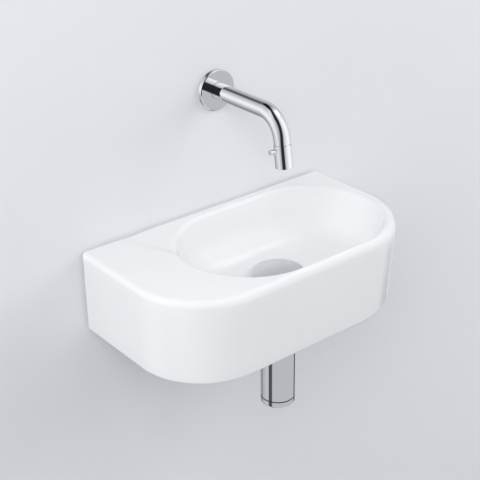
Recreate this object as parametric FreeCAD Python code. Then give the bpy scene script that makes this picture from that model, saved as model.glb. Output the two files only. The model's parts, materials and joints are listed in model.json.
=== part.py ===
import FreeCAD, Part
import math
import os
from FreeCAD import Placement, Rotation, Vector

# Wall-hung hand basin with a wall tap, a click waste and a bottle trap. Sizes are in millimetres.
# X runs along the wall, Y points into the wall and Z points up. Heights are worked out from the
# basin's rim, and every piece is lifted at the end so that the origin lies on the wall, midway
# between the two fixing bolts.

# Basin body
BASIN_WIDTH = 400.0
BASIN_DEPTH = 220.0
BASIN_HEIGHT = 112.0
LEFT_CORNER_R = 95.0
RIGHT_CORNER_SPARE = 22.25
TOP_EDGE_R = 5.5
FOOT_EDGE_R = 4.0
WALL_EDGE_R = 2.0
SKIRT_WALL = 11.0
BACK_WALL = 15.0
HOLLOW_CORNER_R = 10.0
DECK_THICKNESS = 13.0

# Bowl, placed by the widths of rim and shelf that surround it
RIM_FRONT = 11.0
RIM_BACK = 17.5
RIM_RIGHT = 17.5
SHELF_WIDTH = 86.5
BOWL_DEPTH = 72.0
BOWL_DRAFT_DEG = 12.0
BOWL_FLOOR_R = 50.0
BOWL_EDGE_R = 4.0
BOWL_WALL = 11.0
FLOOR_FALL_DEG = 1.0

# Run-off channel from the back of the shelf to the bowl's edge
CHANNEL_INSET = 73.0
CHANNEL_BACK_WIDTH = 42.0
CHANNEL_BACK_DEPTH = 0.9
CHANNEL_END_WIDTH = 16.0
CHANNEL_END_DEPTH = 2.2
CHANNEL_END_DEG = 27.0
CHANNEL_CUT_FROM = -0.1
CHANNEL_CUT_TO = 1.25

# Wall fixing: hanger bolts with bushes, washers and nuts
BOLT_DROP = 72.0
BOLT_INSET = 60.0
BOLT_R = 5.0
BOLT_WALL_R = 4.8
BOLT_INTO_WALL = 70.0
BOLT_TIP = 9.0
BOLT_PROUD = 5.0
BUSH_WALL = 2.0
BUSH_FLANGE_R = 14.0
BUSH_FLANGE_T = 3.0
FIXING_WASHER_R = 12.0
FIXING_WASHER_T = 2.0
FIXING_NUT_ACROSS = 17.0
FIXING_NUT_H = 8.0

# Waste: flanged body, seals, locknut and the plug with its click cartridge
DRAIN_SHIFT = -6.0
FLANGE_R = 32.0
FLANGE_T = 3.5
FLANGE_SEAL_T = 1.0
DISH_RIM_R = 29.5
DISH_R = 28.0
DISH_DEPTH = 1.7
TAIL_R = 20.95
TAIL_WALL = 2.45
TAIL_LENGTH = 52.5
DRAIN_BOSS_R = 40.0
DRAIN_BOSS_H = 3.0
CONE_SEAL_R = 33.0
CONE_SEAL_T = 4.0
WASTE_WASHER_T = 1.5
LOCKNUT_ACROSS = 56.0
LOCKNUT_H = 8.5
SPIDER_DROP = 25.0
SPIDER_T = 4.0
SPIDER_HUB_R = 8.5
SPIDER_ARM_W = 4.0
SPIDER_ARMS = 4
BARREL_R = 7.5
BARREL_SINK = 2.5
BARREL_THREAD_R = 4.0
STEM_R = 3.5
STEM_STOP = 2.0
PLUG_R = 35.5
PLUG_T = 3.5
PLUG_RISE = 11.0
PLUG_BOSS_R = 21.0
PLUG_BOSS_H = 2.0
PLUG_SEAL_R = 26.0
PLUG_SEAL_T = 2.5
PLUG_CLOSED_GAP = 0.4

# Bottle trap with its wall pipe
INLET_NUT_R = 27.0
INLET_NUT_GRIP = 16.0
NUT_LIP = 3.0
INLET_SEAL_T = 2.2
PIPE_R = 16.0
PIPE_WALL = 1.2
PIPE_END_R = 15.8
DIP_COLLAR_T = 2.8
DIP_REVEAL = 3.0
WATER_SEAL = 50.0
GLAND_NUT_R = 25.0
GLAND_NUT_H = 12.0
GLAND_SEAL_T = 2.5
NECK_R = 20.0
BOTTLE_R = 24.0
BOTTLE_WALL = 2.0
BOTTLE_LENGTH = 101.0
BOTTLE_GAP = 1.0
CAP_SEAM = 1.8
CAP_H = 8.6
CAP_PLUG_H = 9.0
OUTLET_DROP = 21.0
BRANCH_R = 18.2
BRANCH_LENGTH = 20.0
OUTLET_NUT_R = 22.5
OUTLET_NUT_GRIP = 12.0
OUTLET_SEAL_T = 3.0
PIPE_IN_BRANCH = 14.0
PIPE_INTO_WALL = 45.0
PIPE_ROSETTE_R = 32.5
PIPE_ROSETTE_DEPTH = 10.0
PIPE_ROSETTE_T = 1.5

# Wall tap: inlet tail, rosette and bent spout
TAP_X = 18.0
TAP_RISE = 162.5
SPOUT_R = 10.8
SPOUT_BORE_R = 7.5
SPOUT_STRAIGHT = 97.5
BEND_R = 34.0
BEND_DEG = 82.0
SPOUT_DROP = 6.5
TAIL_THREAD_R = 10.4775
TAIL_INTO_WALL = 22.0
TAIL_COLLAR_R = 13.5
TAIL_COLLAR_T = 1.5
SPIGOT_LENGTH = 12.0
WATERWAY_R = 5.0
TAIL_RING_R = 0.7
TAIL_RING_Y = -10.0
GRUB_R = 1.6
GRUB_Y = -4.8
GRUB_BITE = 0.75
TAP_ROSETTE_R = 27.0
TAP_ROSETTE_DEPTH = 6.0
TAP_ROSETTE_WALL = 2.0
TAP_ROSETTE_CHAMFER = 0.8
ROSETTE_RING_R = 0.8

# Turning nose of the spout, with the ceramic valve and the aerator; lengths run down the nose axis
NOSE_LENGTH = 30.0
NOSE_R = 11.2
SEAM_GAP = 0.3
HOUSING_R = 8.0
HOUSING_PLUG_R = 8.5
HOUSING_PLUG_L = 6.5
HOUSING_LENGTH = 14.0
CLIP_S = 2.6
CLIP_T = 1.0
CLIP_DEPTH = 0.7
NOSE_RING_R = 0.7
NOSE_RING_S = 6.0
DISC_R = 6.8
FIXED_DISC_T = 3.5
TURNING_DISC_T = 3.0
PORT_OUT_R = 4.6
PORT_IN_R = 1.2
PORT_DEG = 76.0
LEDGE_T = 2.4
LEDGE_R = 5.2
NOSE_END_WALL = 1.75
AERATOR_SEAL_T = 1.2
AERATOR_WALL = 1.6
AERATOR_INSET = 0.6
AERATOR_PLATE_T = 1.4
AERATOR_CELL = 2.1
AERATOR_WEB = 0.6
AERATOR_CELL_RINGS = 2
LEVER_R = 3.2
LEVER_S = 7.2
LEVER_REACH = 18.8
LEVER_SINK = 1.5
LEVER_END_R = 0.7
LEVER_DEG = -12.0

# Small roundings
FINE_ROUND = 0.5
SOFT_ROUND = 1.0
BOTTLE_ROUND = 2.0

# Clearances
RUNNING_PLAY = 0.05
THREAD_PLAY = 0.05
SLIP_PLAY = 0.3
BOLT_PLAY = 0.2
DRAIN_PLAY = 2.0
SUMP_PLAY = 0.8
CUT_OVER = 5.0
PICK_TOLERANCE = 0.001

# Places that follow from the sizes above
BOWL_END_R = (BASIN_DEPTH - RIM_FRONT - RIM_BACK) / 2
RIGHT_CORNER_R = BOWL_END_R + RIGHT_CORNER_SPARE
BOWL_STRAIGHT = BASIN_WIDTH - SHELF_WIDTH - RIM_RIGHT - 2 * BOWL_END_R
BOWL_X = (SHELF_WIDTH - RIM_RIGHT) / 2
BOWL_Y = -(RIM_BACK + BOWL_END_R)
CHANNEL_X = CHANNEL_INSET - BASIN_WIDTH / 2
BOLT_SPACING = BASIN_WIDTH - 2 * BOLT_INSET
DRAIN_X = BOWL_X + DRAIN_SHIFT
DRAIN_Y = BOWL_Y
FLOOR_Z = -BOWL_DEPTH
FLANGE_Z = FLOOR_Z - FLANGE_T
SEAT_Z = FLANGE_Z - FLANGE_SEAL_T
BOSS_Z = FLOOR_Z - BOWL_WALL - DRAIN_BOSS_H
WASTE_WASHER_Z = BOSS_Z - CONE_SEAL_T
LOCKNUT_Z = WASTE_WASHER_Z - WASTE_WASHER_T
TAIL_END_Z = FLANGE_Z - TAIL_LENGTH
TAIL_BORE_R = TAIL_R - TAIL_WALL
SPIDER_Z = FLANGE_Z - SPIDER_DROP
BARREL_TOP_Z = FLOOR_Z - BARREL_SINK
PLUG_TOP_Z = FLOOR_Z + PLUG_RISE
PLUG_UNDER_Z = PLUG_TOP_Z - PLUG_T
PLUG_CLOSED_Z = FLOOR_Z + PLUG_R * math.tan(math.radians(FLOOR_FALL_DEG)) + PLUG_CLOSED_GAP
PLUG_TRAVEL = PLUG_UNDER_Z - PLUG_CLOSED_Z
INLET_SHOULDER_Z = TAIL_END_Z - INLET_SEAL_T - DIP_COLLAR_T
GLAND_Z = INLET_SHOULDER_Z - NUT_LIP - DIP_REVEAL
BOTTLE_Z = GLAND_Z - GLAND_NUT_H - BOTTLE_GAP
BOTTLE_END_Z = BOTTLE_Z - BOTTLE_LENGTH
CAP_Z = BOTTLE_END_Z - CAP_SEAM
OUTLET_Z = BOTTLE_Z - OUTLET_DROP
BRANCH_END_Y = DRAIN_Y + BOTTLE_R + BRANCH_LENGTH
DIP_END_Z = OUTLET_Z - PIPE_R + PIPE_WALL - WATER_SEAL
SPOUT_START_Y = -TAIL_COLLAR_T
BEND_Y = -SPOUT_STRAIGHT
BEND_Z = TAP_RISE - BEND_R
LEAN_DEG = 90.0 - BEND_DEG
LEAN_SIN = math.sin(math.radians(LEAN_DEG))
LEAN_COS = math.cos(math.radians(LEAN_DEG))
NOSE_Y = BEND_Y - BEND_R * LEAN_COS - SPOUT_DROP * LEAN_SIN
NOSE_Z = BEND_Z + BEND_R * LEAN_SIN - SPOUT_DROP * LEAN_COS
FIXED_DISC_S = HOUSING_LENGTH - FIXED_DISC_T
TURNING_DISC_S = HOUSING_LENGTH + RUNNING_PLAY
LEDGE_S = TURNING_DISC_S + TURNING_DISC_T
AERATOR_S = LEDGE_S + LEDGE_T
AERATOR_R = NOSE_R - NOSE_END_WALL
UP = Vector(0, 0, 1)


def corner_arc(before, corner, after, radius):
    """Start, middle and end of the arc that rounds a corner; one point for a sharp corner."""
    if radius == 0:
        return [corner]
    back = (before - corner).normalize()
    ahead = (after - corner).normalize()
    half = back.getAngle(ahead) / 2
    bisector = (back + ahead).normalize()
    tangent = radius / math.tan(half)
    middle = corner + bisector * (radius / math.sin(half) - radius)
    return [corner + back * tangent, middle, corner + ahead * tangent]


def rounded_wire(corners):
    """Closed flat wire through (x, y) or (x, y, round) corners, rounded by tangent arcs."""
    points = [Vector(c[0], c[1], 0) for c in corners]
    rounds = [c[2] if len(c) > 2 else 0 for c in corners]
    count = len(points)
    stretches = [
        corner_arc(points[i - 1], points[i], points[(i + 1) % count], rounds[i])
        for i in range(count)
    ]
    edges = []
    for i, stretch in enumerate(stretches):
        if len(stretch) == 3:
            edges.append(Part.Arc(*stretch).toShape())
        start, end = stretch[-1], stretches[(i + 1) % count][0]
        if start.distanceToPoint(end) > PICK_TOLERANCE:
            edges.append(Part.LineSegment(start, end).toShape())
    return Part.Wire(edges)


def upright_face(corners):
    """Face in the XZ plane from (radius, height) corners."""
    face = Part.Face(rounded_wire(corners))
    face.rotate(Vector(0, 0, 0), Vector(1, 0, 0), 90)
    return face


def lathe(corners, turn_deg=360):
    """Solid turned about Z from (radius, height) corners."""
    return upright_face(corners).revolve(Vector(0, 0, 0), UP, turn_deg)


def tube(inner_r, outer_r, low, high):
    """Plain ring or tube about Z."""
    return lathe([(inner_r, low), (outer_r, low), (outer_r, high), (inner_r, high)])


def ring(middle_r, section_r, height):
    """Sealing ring about Z, pressed to an eight-sided section."""
    corner = section_r / math.cos(math.radians(22.5))
    turns = [math.radians(45 * i + 22.5) for i in range(8)]
    return lathe([(middle_r + corner * math.cos(a), height + corner * math.sin(a)) for a in turns])


def rod(radius, low, high):
    """Plain cylinder about Z."""
    return Part.makeCylinder(radius, high - low, Vector(0, 0, low))


def slab(wire, low, high):
    """Flat wire drawn up from one height to another."""
    face = Part.Face(wire)
    face.translate(Vector(0, 0, low))
    return face.extrude(Vector(0, 0, high - low))


def hexagon(across):
    """Flat hexagon about the origin, of one size across its flats."""
    corner_r = across / math.sqrt(3)
    turns = [math.radians(60 * i) for i in range(6)]
    return rounded_wire([(corner_r * math.cos(a), corner_r * math.sin(a)) for a in turns])


def hexagon_nut(across, bore_r, low, high):
    """Hexagon nut about Z with its corners turned off at both faces."""
    corner_r = across / math.sqrt(3)
    flat_r = across / 2
    ease = (corner_r - flat_r) * math.tan(math.radians(30))
    turned = lathe([
        (0, low), (flat_r, low), (corner_r, low + ease),
        (corner_r, high - ease), (flat_r, high), (0, high),
    ])
    bore = rod(bore_r, low - CUT_OVER, high + CUT_OVER)
    return slab(hexagon(across), low, high).common(turned).cut(bore)


def at_drain(shape):
    """Moves a piece made about Z on to the drain's axis."""
    return shape.translated(Vector(DRAIN_X, DRAIN_Y, 0))


def into_wall(shape, x, z):
    """Lays a piece made about Z along Y, with its +Z end towards the wall."""
    return shape.transformed(Placement(Vector(x, 0, z), Rotation(Vector(1, 0, 0), -90)).toMatrix())


def at_nose(shape):
    """Moves a piece made about Z, hanging below zero, on to the leaning axis of the nose."""
    lean = Rotation(Vector(1, 0, 0), -LEAN_DEG)
    return shape.transformed(Placement(Vector(TAP_X, NOSE_Y, NOSE_Z), lean).toMatrix())


def level_edges(shape, height):
    """Edges that lie wholly at one height."""
    return [
        edge for edge in shape.Edges
        if max(abs(edge.BoundBox.ZMin - height), abs(edge.BoundBox.ZMax - height)) < PICK_TOLERANCE
    ]


def on_wall(edge):
    """Whether an edge lies wholly in the plane of the wall."""
    return max(abs(edge.BoundBox.YMin), abs(edge.BoundBox.YMax)) < PICK_TOLERANCE


def basin_outline(inset, back_inset, back_r):
    """Outline of the basin from above: square at the back, with two wide round front corners."""
    side = BASIN_WIDTH / 2 - inset
    front = -BASIN_DEPTH + inset
    return rounded_wire([
        (side, -back_inset, back_r),
        (-side, -back_inset, back_r),
        (-side, front, LEFT_CORNER_R - inset),
        (side, front, RIGHT_CORNER_R - inset),
    ])


def bowl_form(growth):
    """Bowl as a solid, grown outwards by a wall: one profile, half-turned at both ends of a run."""
    draft = math.tan(math.radians(BOWL_DRAFT_DEG))
    rim_r = BOWL_END_R + growth / math.cos(math.radians(BOWL_DRAFT_DEG))
    fall = math.tan(math.radians(FLOOR_FALL_DEG))
    floor_r = (rim_r - (BOWL_DEPTH + growth) * draft) / (1 - fall * draft)
    rise = floor_r * fall
    low = FLOOR_Z - growth
    profile = [
        (0, low),
        (floor_r, low + rise, BOWL_FLOOR_R + growth),
        (rim_r + CUT_OVER * draft, CUT_OVER),
        (0, CUT_OVER),
    ]
    reach = BOWL_STRAIGHT / 2
    end = lathe(profile, 180)
    right_end = end.rotated(Vector(0, 0, 0), UP, -90).translated(Vector(reach, 0, 0))
    side = upright_face(profile).rotated(Vector(0, 0, 0), UP, 90)
    back_run = side.extrude(Vector(BOWL_STRAIGHT, 0, 0)).translated(Vector(-reach, 0, 0))
    opposite = [half.rotated(Vector(0, 0, 0), UP, 180) for half in (right_end, back_run)]
    form = right_end.multiFuse([back_run] + opposite).removeSplitter()
    return form.translated(Vector(BOWL_X, BOWL_Y, 0))


def narrowest_rim():
    """Least width of flat rim: on a straight side, or at the front corner that the bowl nests in."""
    corner = Vector(BASIN_WIDTH / 2 - RIGHT_CORNER_R, -BASIN_DEPTH + RIGHT_CORNER_R, 0)
    end = Vector(BOWL_X + BOWL_STRAIGHT / 2, BOWL_Y, 0)
    at_corner = RIGHT_CORNER_R - BOWL_END_R - corner.distanceToPoint(end)
    return min(RIM_FRONT, RIM_BACK, RIM_RIGHT, at_corner)


def bowl_edges(shape):
    """Edges where the bowl's wall meets the deck."""
    reach = BOWL_STRAIGHT / 2
    found = []
    for edge in level_edges(shape, 0):
        middle = edge.valueAt((edge.FirstParameter + edge.LastParameter) / 2)
        along = max(-reach, min(reach, middle.x - BOWL_X))
        from_core = middle.distanceToPoint(Vector(BOWL_X + along, BOWL_Y, 0))
        if abs(from_core - BOWL_END_R) < PICK_TOLERANCE:
            found.append(edge)
    return found


def channel_section(share):
    """Section of the run-off channel, from the wall (share 0) to the bowl's edge (share 1)."""
    turn = math.radians(CHANNEL_END_DEG)
    end_x = BOWL_X - BOWL_STRAIGHT / 2 - BOWL_END_R * math.cos(turn)
    end_y = BOWL_Y + BOWL_END_R * math.sin(turn)
    middle = CHANNEL_X + share * (end_x - CHANNEL_X)
    half = (CHANNEL_BACK_WIDTH + share * (CHANNEL_END_WIDTH - CHANNEL_BACK_WIDTH)) / 2
    depth = CHANNEL_BACK_DEPTH + share * (CHANNEL_END_DEPTH - CHANNEL_BACK_DEPTH)
    y = share * end_y
    left, right = Vector(middle - half, y, 0), Vector(middle + half, y, 0)
    above_left, above_right = left + UP * CUT_OVER, right + UP * CUT_OVER
    bed = Part.Arc(left, Vector(middle, y, -depth), right).toShape()
    lines = [(right, above_right), (above_right, above_left), (above_left, left)]
    return Part.Wire([bed] + [Part.LineSegment(a, b).toShape() for a, b in lines])


def bolt_places():
    """The two fixing points along the wall."""
    return [-BOLT_SPACING / 2, BOLT_SPACING / 2]


def skirt_form():
    """Outside of the basin: rounded along its front and sides, and eased all round the wall face."""
    body = slab(basin_outline(0, 0, 0), -BASIN_HEIGHT, 0)
    top_r = min(TOP_EDGE_R, narrowest_rim() / 2)
    for radius, height in ((top_r, 0), (FOOT_EDGE_R, -BASIN_HEIGHT)):
        body = body.makeFillet(radius, [e for e in level_edges(body, height) if not on_wall(e)])
    return body.makeFillet(WALL_EDGE_R, [e for e in body.Edges if on_wall(e)])


def hollow_form():
    """Room under the deck and round the bowl, with a boss left standing at the drain."""
    outline = basin_outline(SKIRT_WALL, BACK_WALL, HOLLOW_CORNER_R)
    room = slab(outline, -BASIN_HEIGHT - CUT_OVER, -DECK_THICKNESS)
    boss = at_drain(rod(DRAIN_BOSS_R, BOSS_Z, FLOOR_Z))
    return room.cut(bowl_form(BOWL_WALL)).cut(boss)


def make_basin():
    """Glazed ceramic body: skirt, shelf and bowl as one casting, hollow and open underneath."""
    body = skirt_form().cut(hollow_form()).cut(bowl_form(0))
    body = body.makeFillet(min(BOWL_EDGE_R, narrowest_rim() / 3), bowl_edges(body))
    ends = [channel_section(CHANNEL_CUT_FROM), channel_section(CHANNEL_CUT_TO)]
    body = body.cut(Part.makeLoft(ends, True, True))
    drain = rod(TAIL_R + DRAIN_PLAY, BOSS_Z - CUT_OVER, 0)
    sump = rod(FLANGE_R + SUMP_PLAY, SEAT_Z, FLOOR_Z + CUT_OVER)
    body = body.cut(at_drain(drain.fuse(sump)))
    hole_r = BOLT_R + BOLT_PLAY + BUSH_WALL + BOLT_PLAY
    for x in bolt_places():
        body = body.cut(into_wall(rod(hole_r, -BACK_WALL - CUT_OVER, CUT_OVER), x, -BOLT_DROP))
    return {"basin": body}


def make_fixings():
    """Hanger bolts that stay in the wall, and what clamps the basin on them."""
    bush_r = BOLT_R + BOLT_PLAY
    flange = -BACK_WALL - BUSH_FLANGE_T
    washer = flange - FIXING_WASHER_T
    nut = washer - FIXING_NUT_H
    bolt_end = nut - BOLT_PROUD
    bolt = lathe([
        (0, bolt_end), (BOLT_R - SOFT_ROUND, bolt_end), (BOLT_R, bolt_end + SOFT_ROUND),
        (BOLT_R, 0), (BOLT_WALL_R, 0), (BOLT_WALL_R, BOLT_INTO_WALL - BOLT_TIP), (0, BOLT_INTO_WALL),
    ])
    bush = lathe([
        (bush_r, 0), (bush_r, flange), (BUSH_FLANGE_R, flange), (BUSH_FLANGE_R, -BACK_WALL),
        (bush_r + BUSH_WALL, -BACK_WALL), (bush_r + BUSH_WALL, 0),
    ])
    pieces = {
        "hanger_bolts": bolt,
        "fixing_bushes": bush,
        "fixing_washers": tube(BOLT_R + BOLT_PLAY, FIXING_WASHER_R, washer, flange),
        "fixing_nuts": hexagon_nut(FIXING_NUT_ACROSS, BOLT_R, nut, washer),
    }
    return {
        name: Part.makeCompound([into_wall(piece, x, -BOLT_DROP) for x in bolt_places()])
        for name, piece in pieces.items()
    }


def waste_body():
    """Flanged waste with a dished mouth, a threaded tail and a spider that carries the cartridge."""
    dish = FLOOR_Z - DISH_DEPTH
    body = lathe([
        (FLANGE_R, FLANGE_Z), (FLANGE_R, FLOOR_Z, FLANGE_T / 3), (DISH_RIM_R, FLOOR_Z),
        (DISH_R, dish), (TAIL_BORE_R + SOFT_ROUND, dish), (TAIL_BORE_R, dish - SOFT_ROUND),
        (TAIL_BORE_R, TAIL_END_Z), (TAIL_R, TAIL_END_Z), (TAIL_R, FLANGE_Z),
    ])
    low = SPIDER_Z - SPIDER_T
    hub = rod(SPIDER_HUB_R, low, SPIDER_Z)
    reach = TAIL_BORE_R + TAIL_WALL / 2
    arm = Part.makeBox(reach, SPIDER_ARM_W, SPIDER_T, Vector(0, -SPIDER_ARM_W / 2, low))
    turn = 360 / SPIDER_ARMS
    arms = [arm.rotated(Vector(0, 0, 0), UP, turn * (i + 0.5)) for i in range(SPIDER_ARMS)]
    body = body.multiFuse([hub] + arms)
    return body.cut(rod(BARREL_THREAD_R, low - CUT_OVER, SPIDER_Z + CUT_OVER))


def make_waste():
    """Waste outlet through the bowl's floor, with the plug standing open."""
    bore_r = STEM_R + RUNNING_PLAY
    barrel_floor = SPIDER_Z + STEM_STOP / 2
    thread_end = SPIDER_Z - 2 * SPIDER_T
    cartridge = lathe([
        (0, thread_end), (BARREL_THREAD_R, thread_end), (BARREL_THREAD_R, SPIDER_Z),
        (BARREL_R, SPIDER_Z), (BARREL_R, BARREL_TOP_Z, SOFT_ROUND), (bore_r, BARREL_TOP_Z),
        (bore_r, barrel_floor), (0, barrel_floor),
    ])
    plug = lathe([
        (0, PLUG_UNDER_Z - PLUG_BOSS_H), (PLUG_BOSS_R, PLUG_UNDER_Z - PLUG_BOSS_H),
        (PLUG_BOSS_R, PLUG_UNDER_Z), (PLUG_R, PLUG_UNDER_Z), (PLUG_R, PLUG_TOP_Z, PLUG_T / 3),
        (0, PLUG_TOP_Z),
    ])
    stem_low = SPIDER_Z + STEM_STOP + PLUG_TRAVEL
    seal_low = PLUG_UNDER_Z - PLUG_SEAL_T
    thread_r = TAIL_R + THREAD_PLAY
    pieces = {
        "waste_body": waste_body(),
        "waste_flange_seal": tube(TAIL_R + SLIP_PLAY, FLANGE_R, SEAT_Z, FLANGE_Z),
        "waste_cone_seal": lathe([
            (thread_r, BOSS_Z + CONE_SEAL_T), (thread_r, WASTE_WASHER_Z),
            (CONE_SEAL_R, WASTE_WASHER_Z), (CONE_SEAL_R, BOSS_Z), (TAIL_R + DRAIN_PLAY, BOSS_Z),
        ]),
        "waste_washer": tube(TAIL_R + SLIP_PLAY, CONE_SEAL_R, LOCKNUT_Z, WASTE_WASHER_Z),
        "waste_locknut": hexagon_nut(LOCKNUT_ACROSS, thread_r, LOCKNUT_Z - LOCKNUT_H, LOCKNUT_Z),
        "click_cartridge": cartridge,
        "plug_cap": plug,
        "plug_stem": rod(STEM_R, stem_low, PLUG_UNDER_Z - PLUG_BOSS_H),
        "plug_seal": lathe([
            (PLUG_BOSS_R, seal_low), (PLUG_SEAL_R, seal_low, PLUG_SEAL_T / 2),
            (PLUG_SEAL_R, PLUG_UNDER_Z), (PLUG_BOSS_R, PLUG_UNDER_Z),
        ]),
    }
    return {name: at_drain(piece) for name, piece in pieces.items()}


def union_nut(outer_r, thread_r, hole_r, mouth, shoulder):
    """Round union nut about Z: open at its mouth, with a lip past the shoulder that it pulls on."""
    way = 1 if mouth > shoulder else -1
    lip = shoulder - way * NUT_LIP
    ease = NUT_LIP / 2
    return lathe([
        (thread_r, mouth), (outer_r - ease, mouth), (outer_r, mouth - way * ease),
        (outer_r, lip + way * ease), (outer_r - ease, lip), (hole_r, lip),
        (hole_r, shoulder), (thread_r, shoulder),
    ])


def trap_bottle():
    """Bottle with a threaded neck on top and a branch on the side that faces the wall."""
    bore_r = BOTTLE_R - BOTTLE_WALL
    neck_top = GLAND_Z - NUT_LIP - GLAND_SEAL_T
    neck_bore_r = PIPE_R + SLIP_PLAY
    ceiling = BOTTLE_Z - BOTTLE_WALL
    shell = lathe([
        (neck_bore_r, neck_top), (NECK_R, neck_top), (NECK_R, BOTTLE_Z),
        (BOTTLE_R, BOTTLE_Z, BOTTLE_ROUND), (BOTTLE_R, BOTTLE_END_Z), (bore_r, BOTTLE_END_Z),
        (bore_r, ceiling), (neck_bore_r, ceiling),
    ])
    inside = at_drain(rod(bore_r, BOTTLE_END_Z, ceiling))
    start = DRAIN_Y + bore_r / 2
    branch = into_wall(rod(BRANCH_R, start, BRANCH_END_Y), DRAIN_X, OUTLET_Z)
    waterway = into_wall(rod(neck_bore_r, start, BRANCH_END_Y + CUT_OVER), DRAIN_X, OUTLET_Z)
    return at_drain(shell).fuse(branch.cut(inside)).cut(waterway)


def trap_upright():
    """Pieces of the trap that stand on the drain's axis, from the inlet nut down to the bottom cap."""
    bore_r = PIPE_R - PIPE_WALL
    slip_r = PIPE_R + SLIP_PLAY
    collar_r = TAIL_R - SLIP_PLAY
    collar_top = INLET_SHOULDER_Z + DIP_COLLAR_T
    gland_shoulder = GLAND_Z - NUT_LIP
    cap_low = CAP_Z - CAP_H
    cap_plug_top = CAP_Z + CAP_PLUG_H
    cap_plug_r = BOTTLE_R - BOTTLE_WALL - SLIP_PLAY / 2
    cap_inner_r = cap_plug_r - BOTTLE_WALL
    ring_r = CAP_SEAM / 2
    pieces = {
        "trap_inlet_nut": union_nut(
            INLET_NUT_R, TAIL_R + THREAD_PLAY, slip_r, TAIL_END_Z + INLET_NUT_GRIP, INLET_SHOULDER_Z
        ),
        "trap_inlet_seal": tube(PIPE_R, collar_r, collar_top, TAIL_END_Z),
        "trap_dip_tube": lathe([
            (bore_r, DIP_END_Z), (PIPE_R, DIP_END_Z), (PIPE_R, INLET_SHOULDER_Z),
            (collar_r, INLET_SHOULDER_Z), (collar_r, collar_top), (bore_r, collar_top),
        ]),
        "trap_gland_nut": union_nut(
            GLAND_NUT_R, NECK_R + THREAD_PLAY, slip_r, GLAND_Z - GLAND_NUT_H, gland_shoulder
        ),
        "trap_gland_seal": tube(
            PIPE_R + THREAD_PLAY, NECK_R - SLIP_PLAY, gland_shoulder - GLAND_SEAL_T, gland_shoulder
        ),
        "trap_bottom_cap": lathe([
            (0, cap_low), (BOTTLE_R, cap_low, BOTTLE_ROUND), (BOTTLE_R, CAP_Z), (cap_plug_r, CAP_Z),
            (cap_plug_r, cap_plug_top), (cap_inner_r, cap_plug_top),
            (cap_inner_r, cap_low + BOTTLE_WALL), (0, cap_low + BOTTLE_WALL),
        ]),
        "trap_cap_ring": ring(BOTTLE_R - BOTTLE_WALL + ring_r, ring_r, CAP_Z + ring_r),
    }
    return {name: at_drain(piece) for name, piece in pieces.items()}


def trap_level():
    """Pieces of the trap on the level run from the bottle's branch into the wall."""
    shoulder = BRANCH_END_Y + OUTLET_SEAL_T
    slip_r = PIPE_R + SLIP_PLAY
    bore_r = PIPE_R - PIPE_WALL
    pipe_start = BRANCH_END_Y - PIPE_IN_BRANCH
    sleeve_r = slip_r + PIPE_ROSETTE_T
    dish_front = -(PIPE_ROSETTE_DEPTH - PIPE_ROSETTE_T) / 2
    pieces = {
        "trap_outlet_seal": tube(PIPE_R + THREAD_PLAY, BRANCH_R - SLIP_PLAY, BRANCH_END_Y, shoulder),
        "trap_outlet_nut": union_nut(
            OUTLET_NUT_R, BRANCH_R + THREAD_PLAY, slip_r, BRANCH_END_Y - OUTLET_NUT_GRIP, shoulder
        ),
        "trap_outlet_pipe": lathe([
            (bore_r, pipe_start), (PIPE_R, pipe_start), (PIPE_R, 0), (PIPE_END_R, 0),
            (PIPE_END_R, PIPE_INTO_WALL), (bore_r, PIPE_INTO_WALL),
        ]),
        "trap_wall_rosette": lathe([
            (slip_r, -PIPE_ROSETTE_DEPTH), (sleeve_r, -PIPE_ROSETTE_DEPTH),
            (sleeve_r, dish_front, BOTTLE_ROUND), (PIPE_ROSETTE_R, 0),
            (PIPE_ROSETTE_R - 2 * PIPE_ROSETTE_T, 0), (slip_r, dish_front + PIPE_ROSETTE_T),
        ]),
    }
    return {name: into_wall(piece, DRAIN_X, OUTLET_Z) for name, piece in pieces.items()}


def make_trap():
    """Bottle trap that hangs on the waste's tail and drains into the wall."""
    return {**trap_upright(), "trap_bottle": trap_bottle(), **trap_level()}


def bent_rod(radius):
    """Rod along the spout's centreline: a run out of the wall, a bend and a short drop."""
    disc = Part.Face(Part.Wire(Part.makeCircle(radius)))
    root = into_wall(disc, TAP_X, TAP_RISE).translated(Vector(0, SPOUT_START_Y, 0))
    straight = root.extrude(Vector(0, BEND_Y - SPOUT_START_Y, 0))
    bend_face = into_wall(disc, TAP_X, TAP_RISE).translated(Vector(0, BEND_Y, 0))
    bend = bend_face.revolve(Vector(TAP_X, BEND_Y, BEND_Z), Vector(1, 0, 0), BEND_DEG)
    drop = at_nose(rod(radius, 0, SPOUT_DROP))
    return straight.multiFuse([bend, drop]).removeSplitter()


def make_spout():
    """Bent spout tube, drilled for the valve housing at its end and for the grub screw at its root."""
    socket = at_nose(rod(HOUSING_PLUG_R, -CUT_OVER, HOUSING_PLUG_L))
    grub = rod(GRUB_R, -SPOUT_R - CUT_OVER, 0).translated(Vector(TAP_X, GRUB_Y, TAP_RISE))
    return bent_rod(SPOUT_R).cut(bent_rod(SPOUT_BORE_R)).cut(socket).cut(grub)


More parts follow.
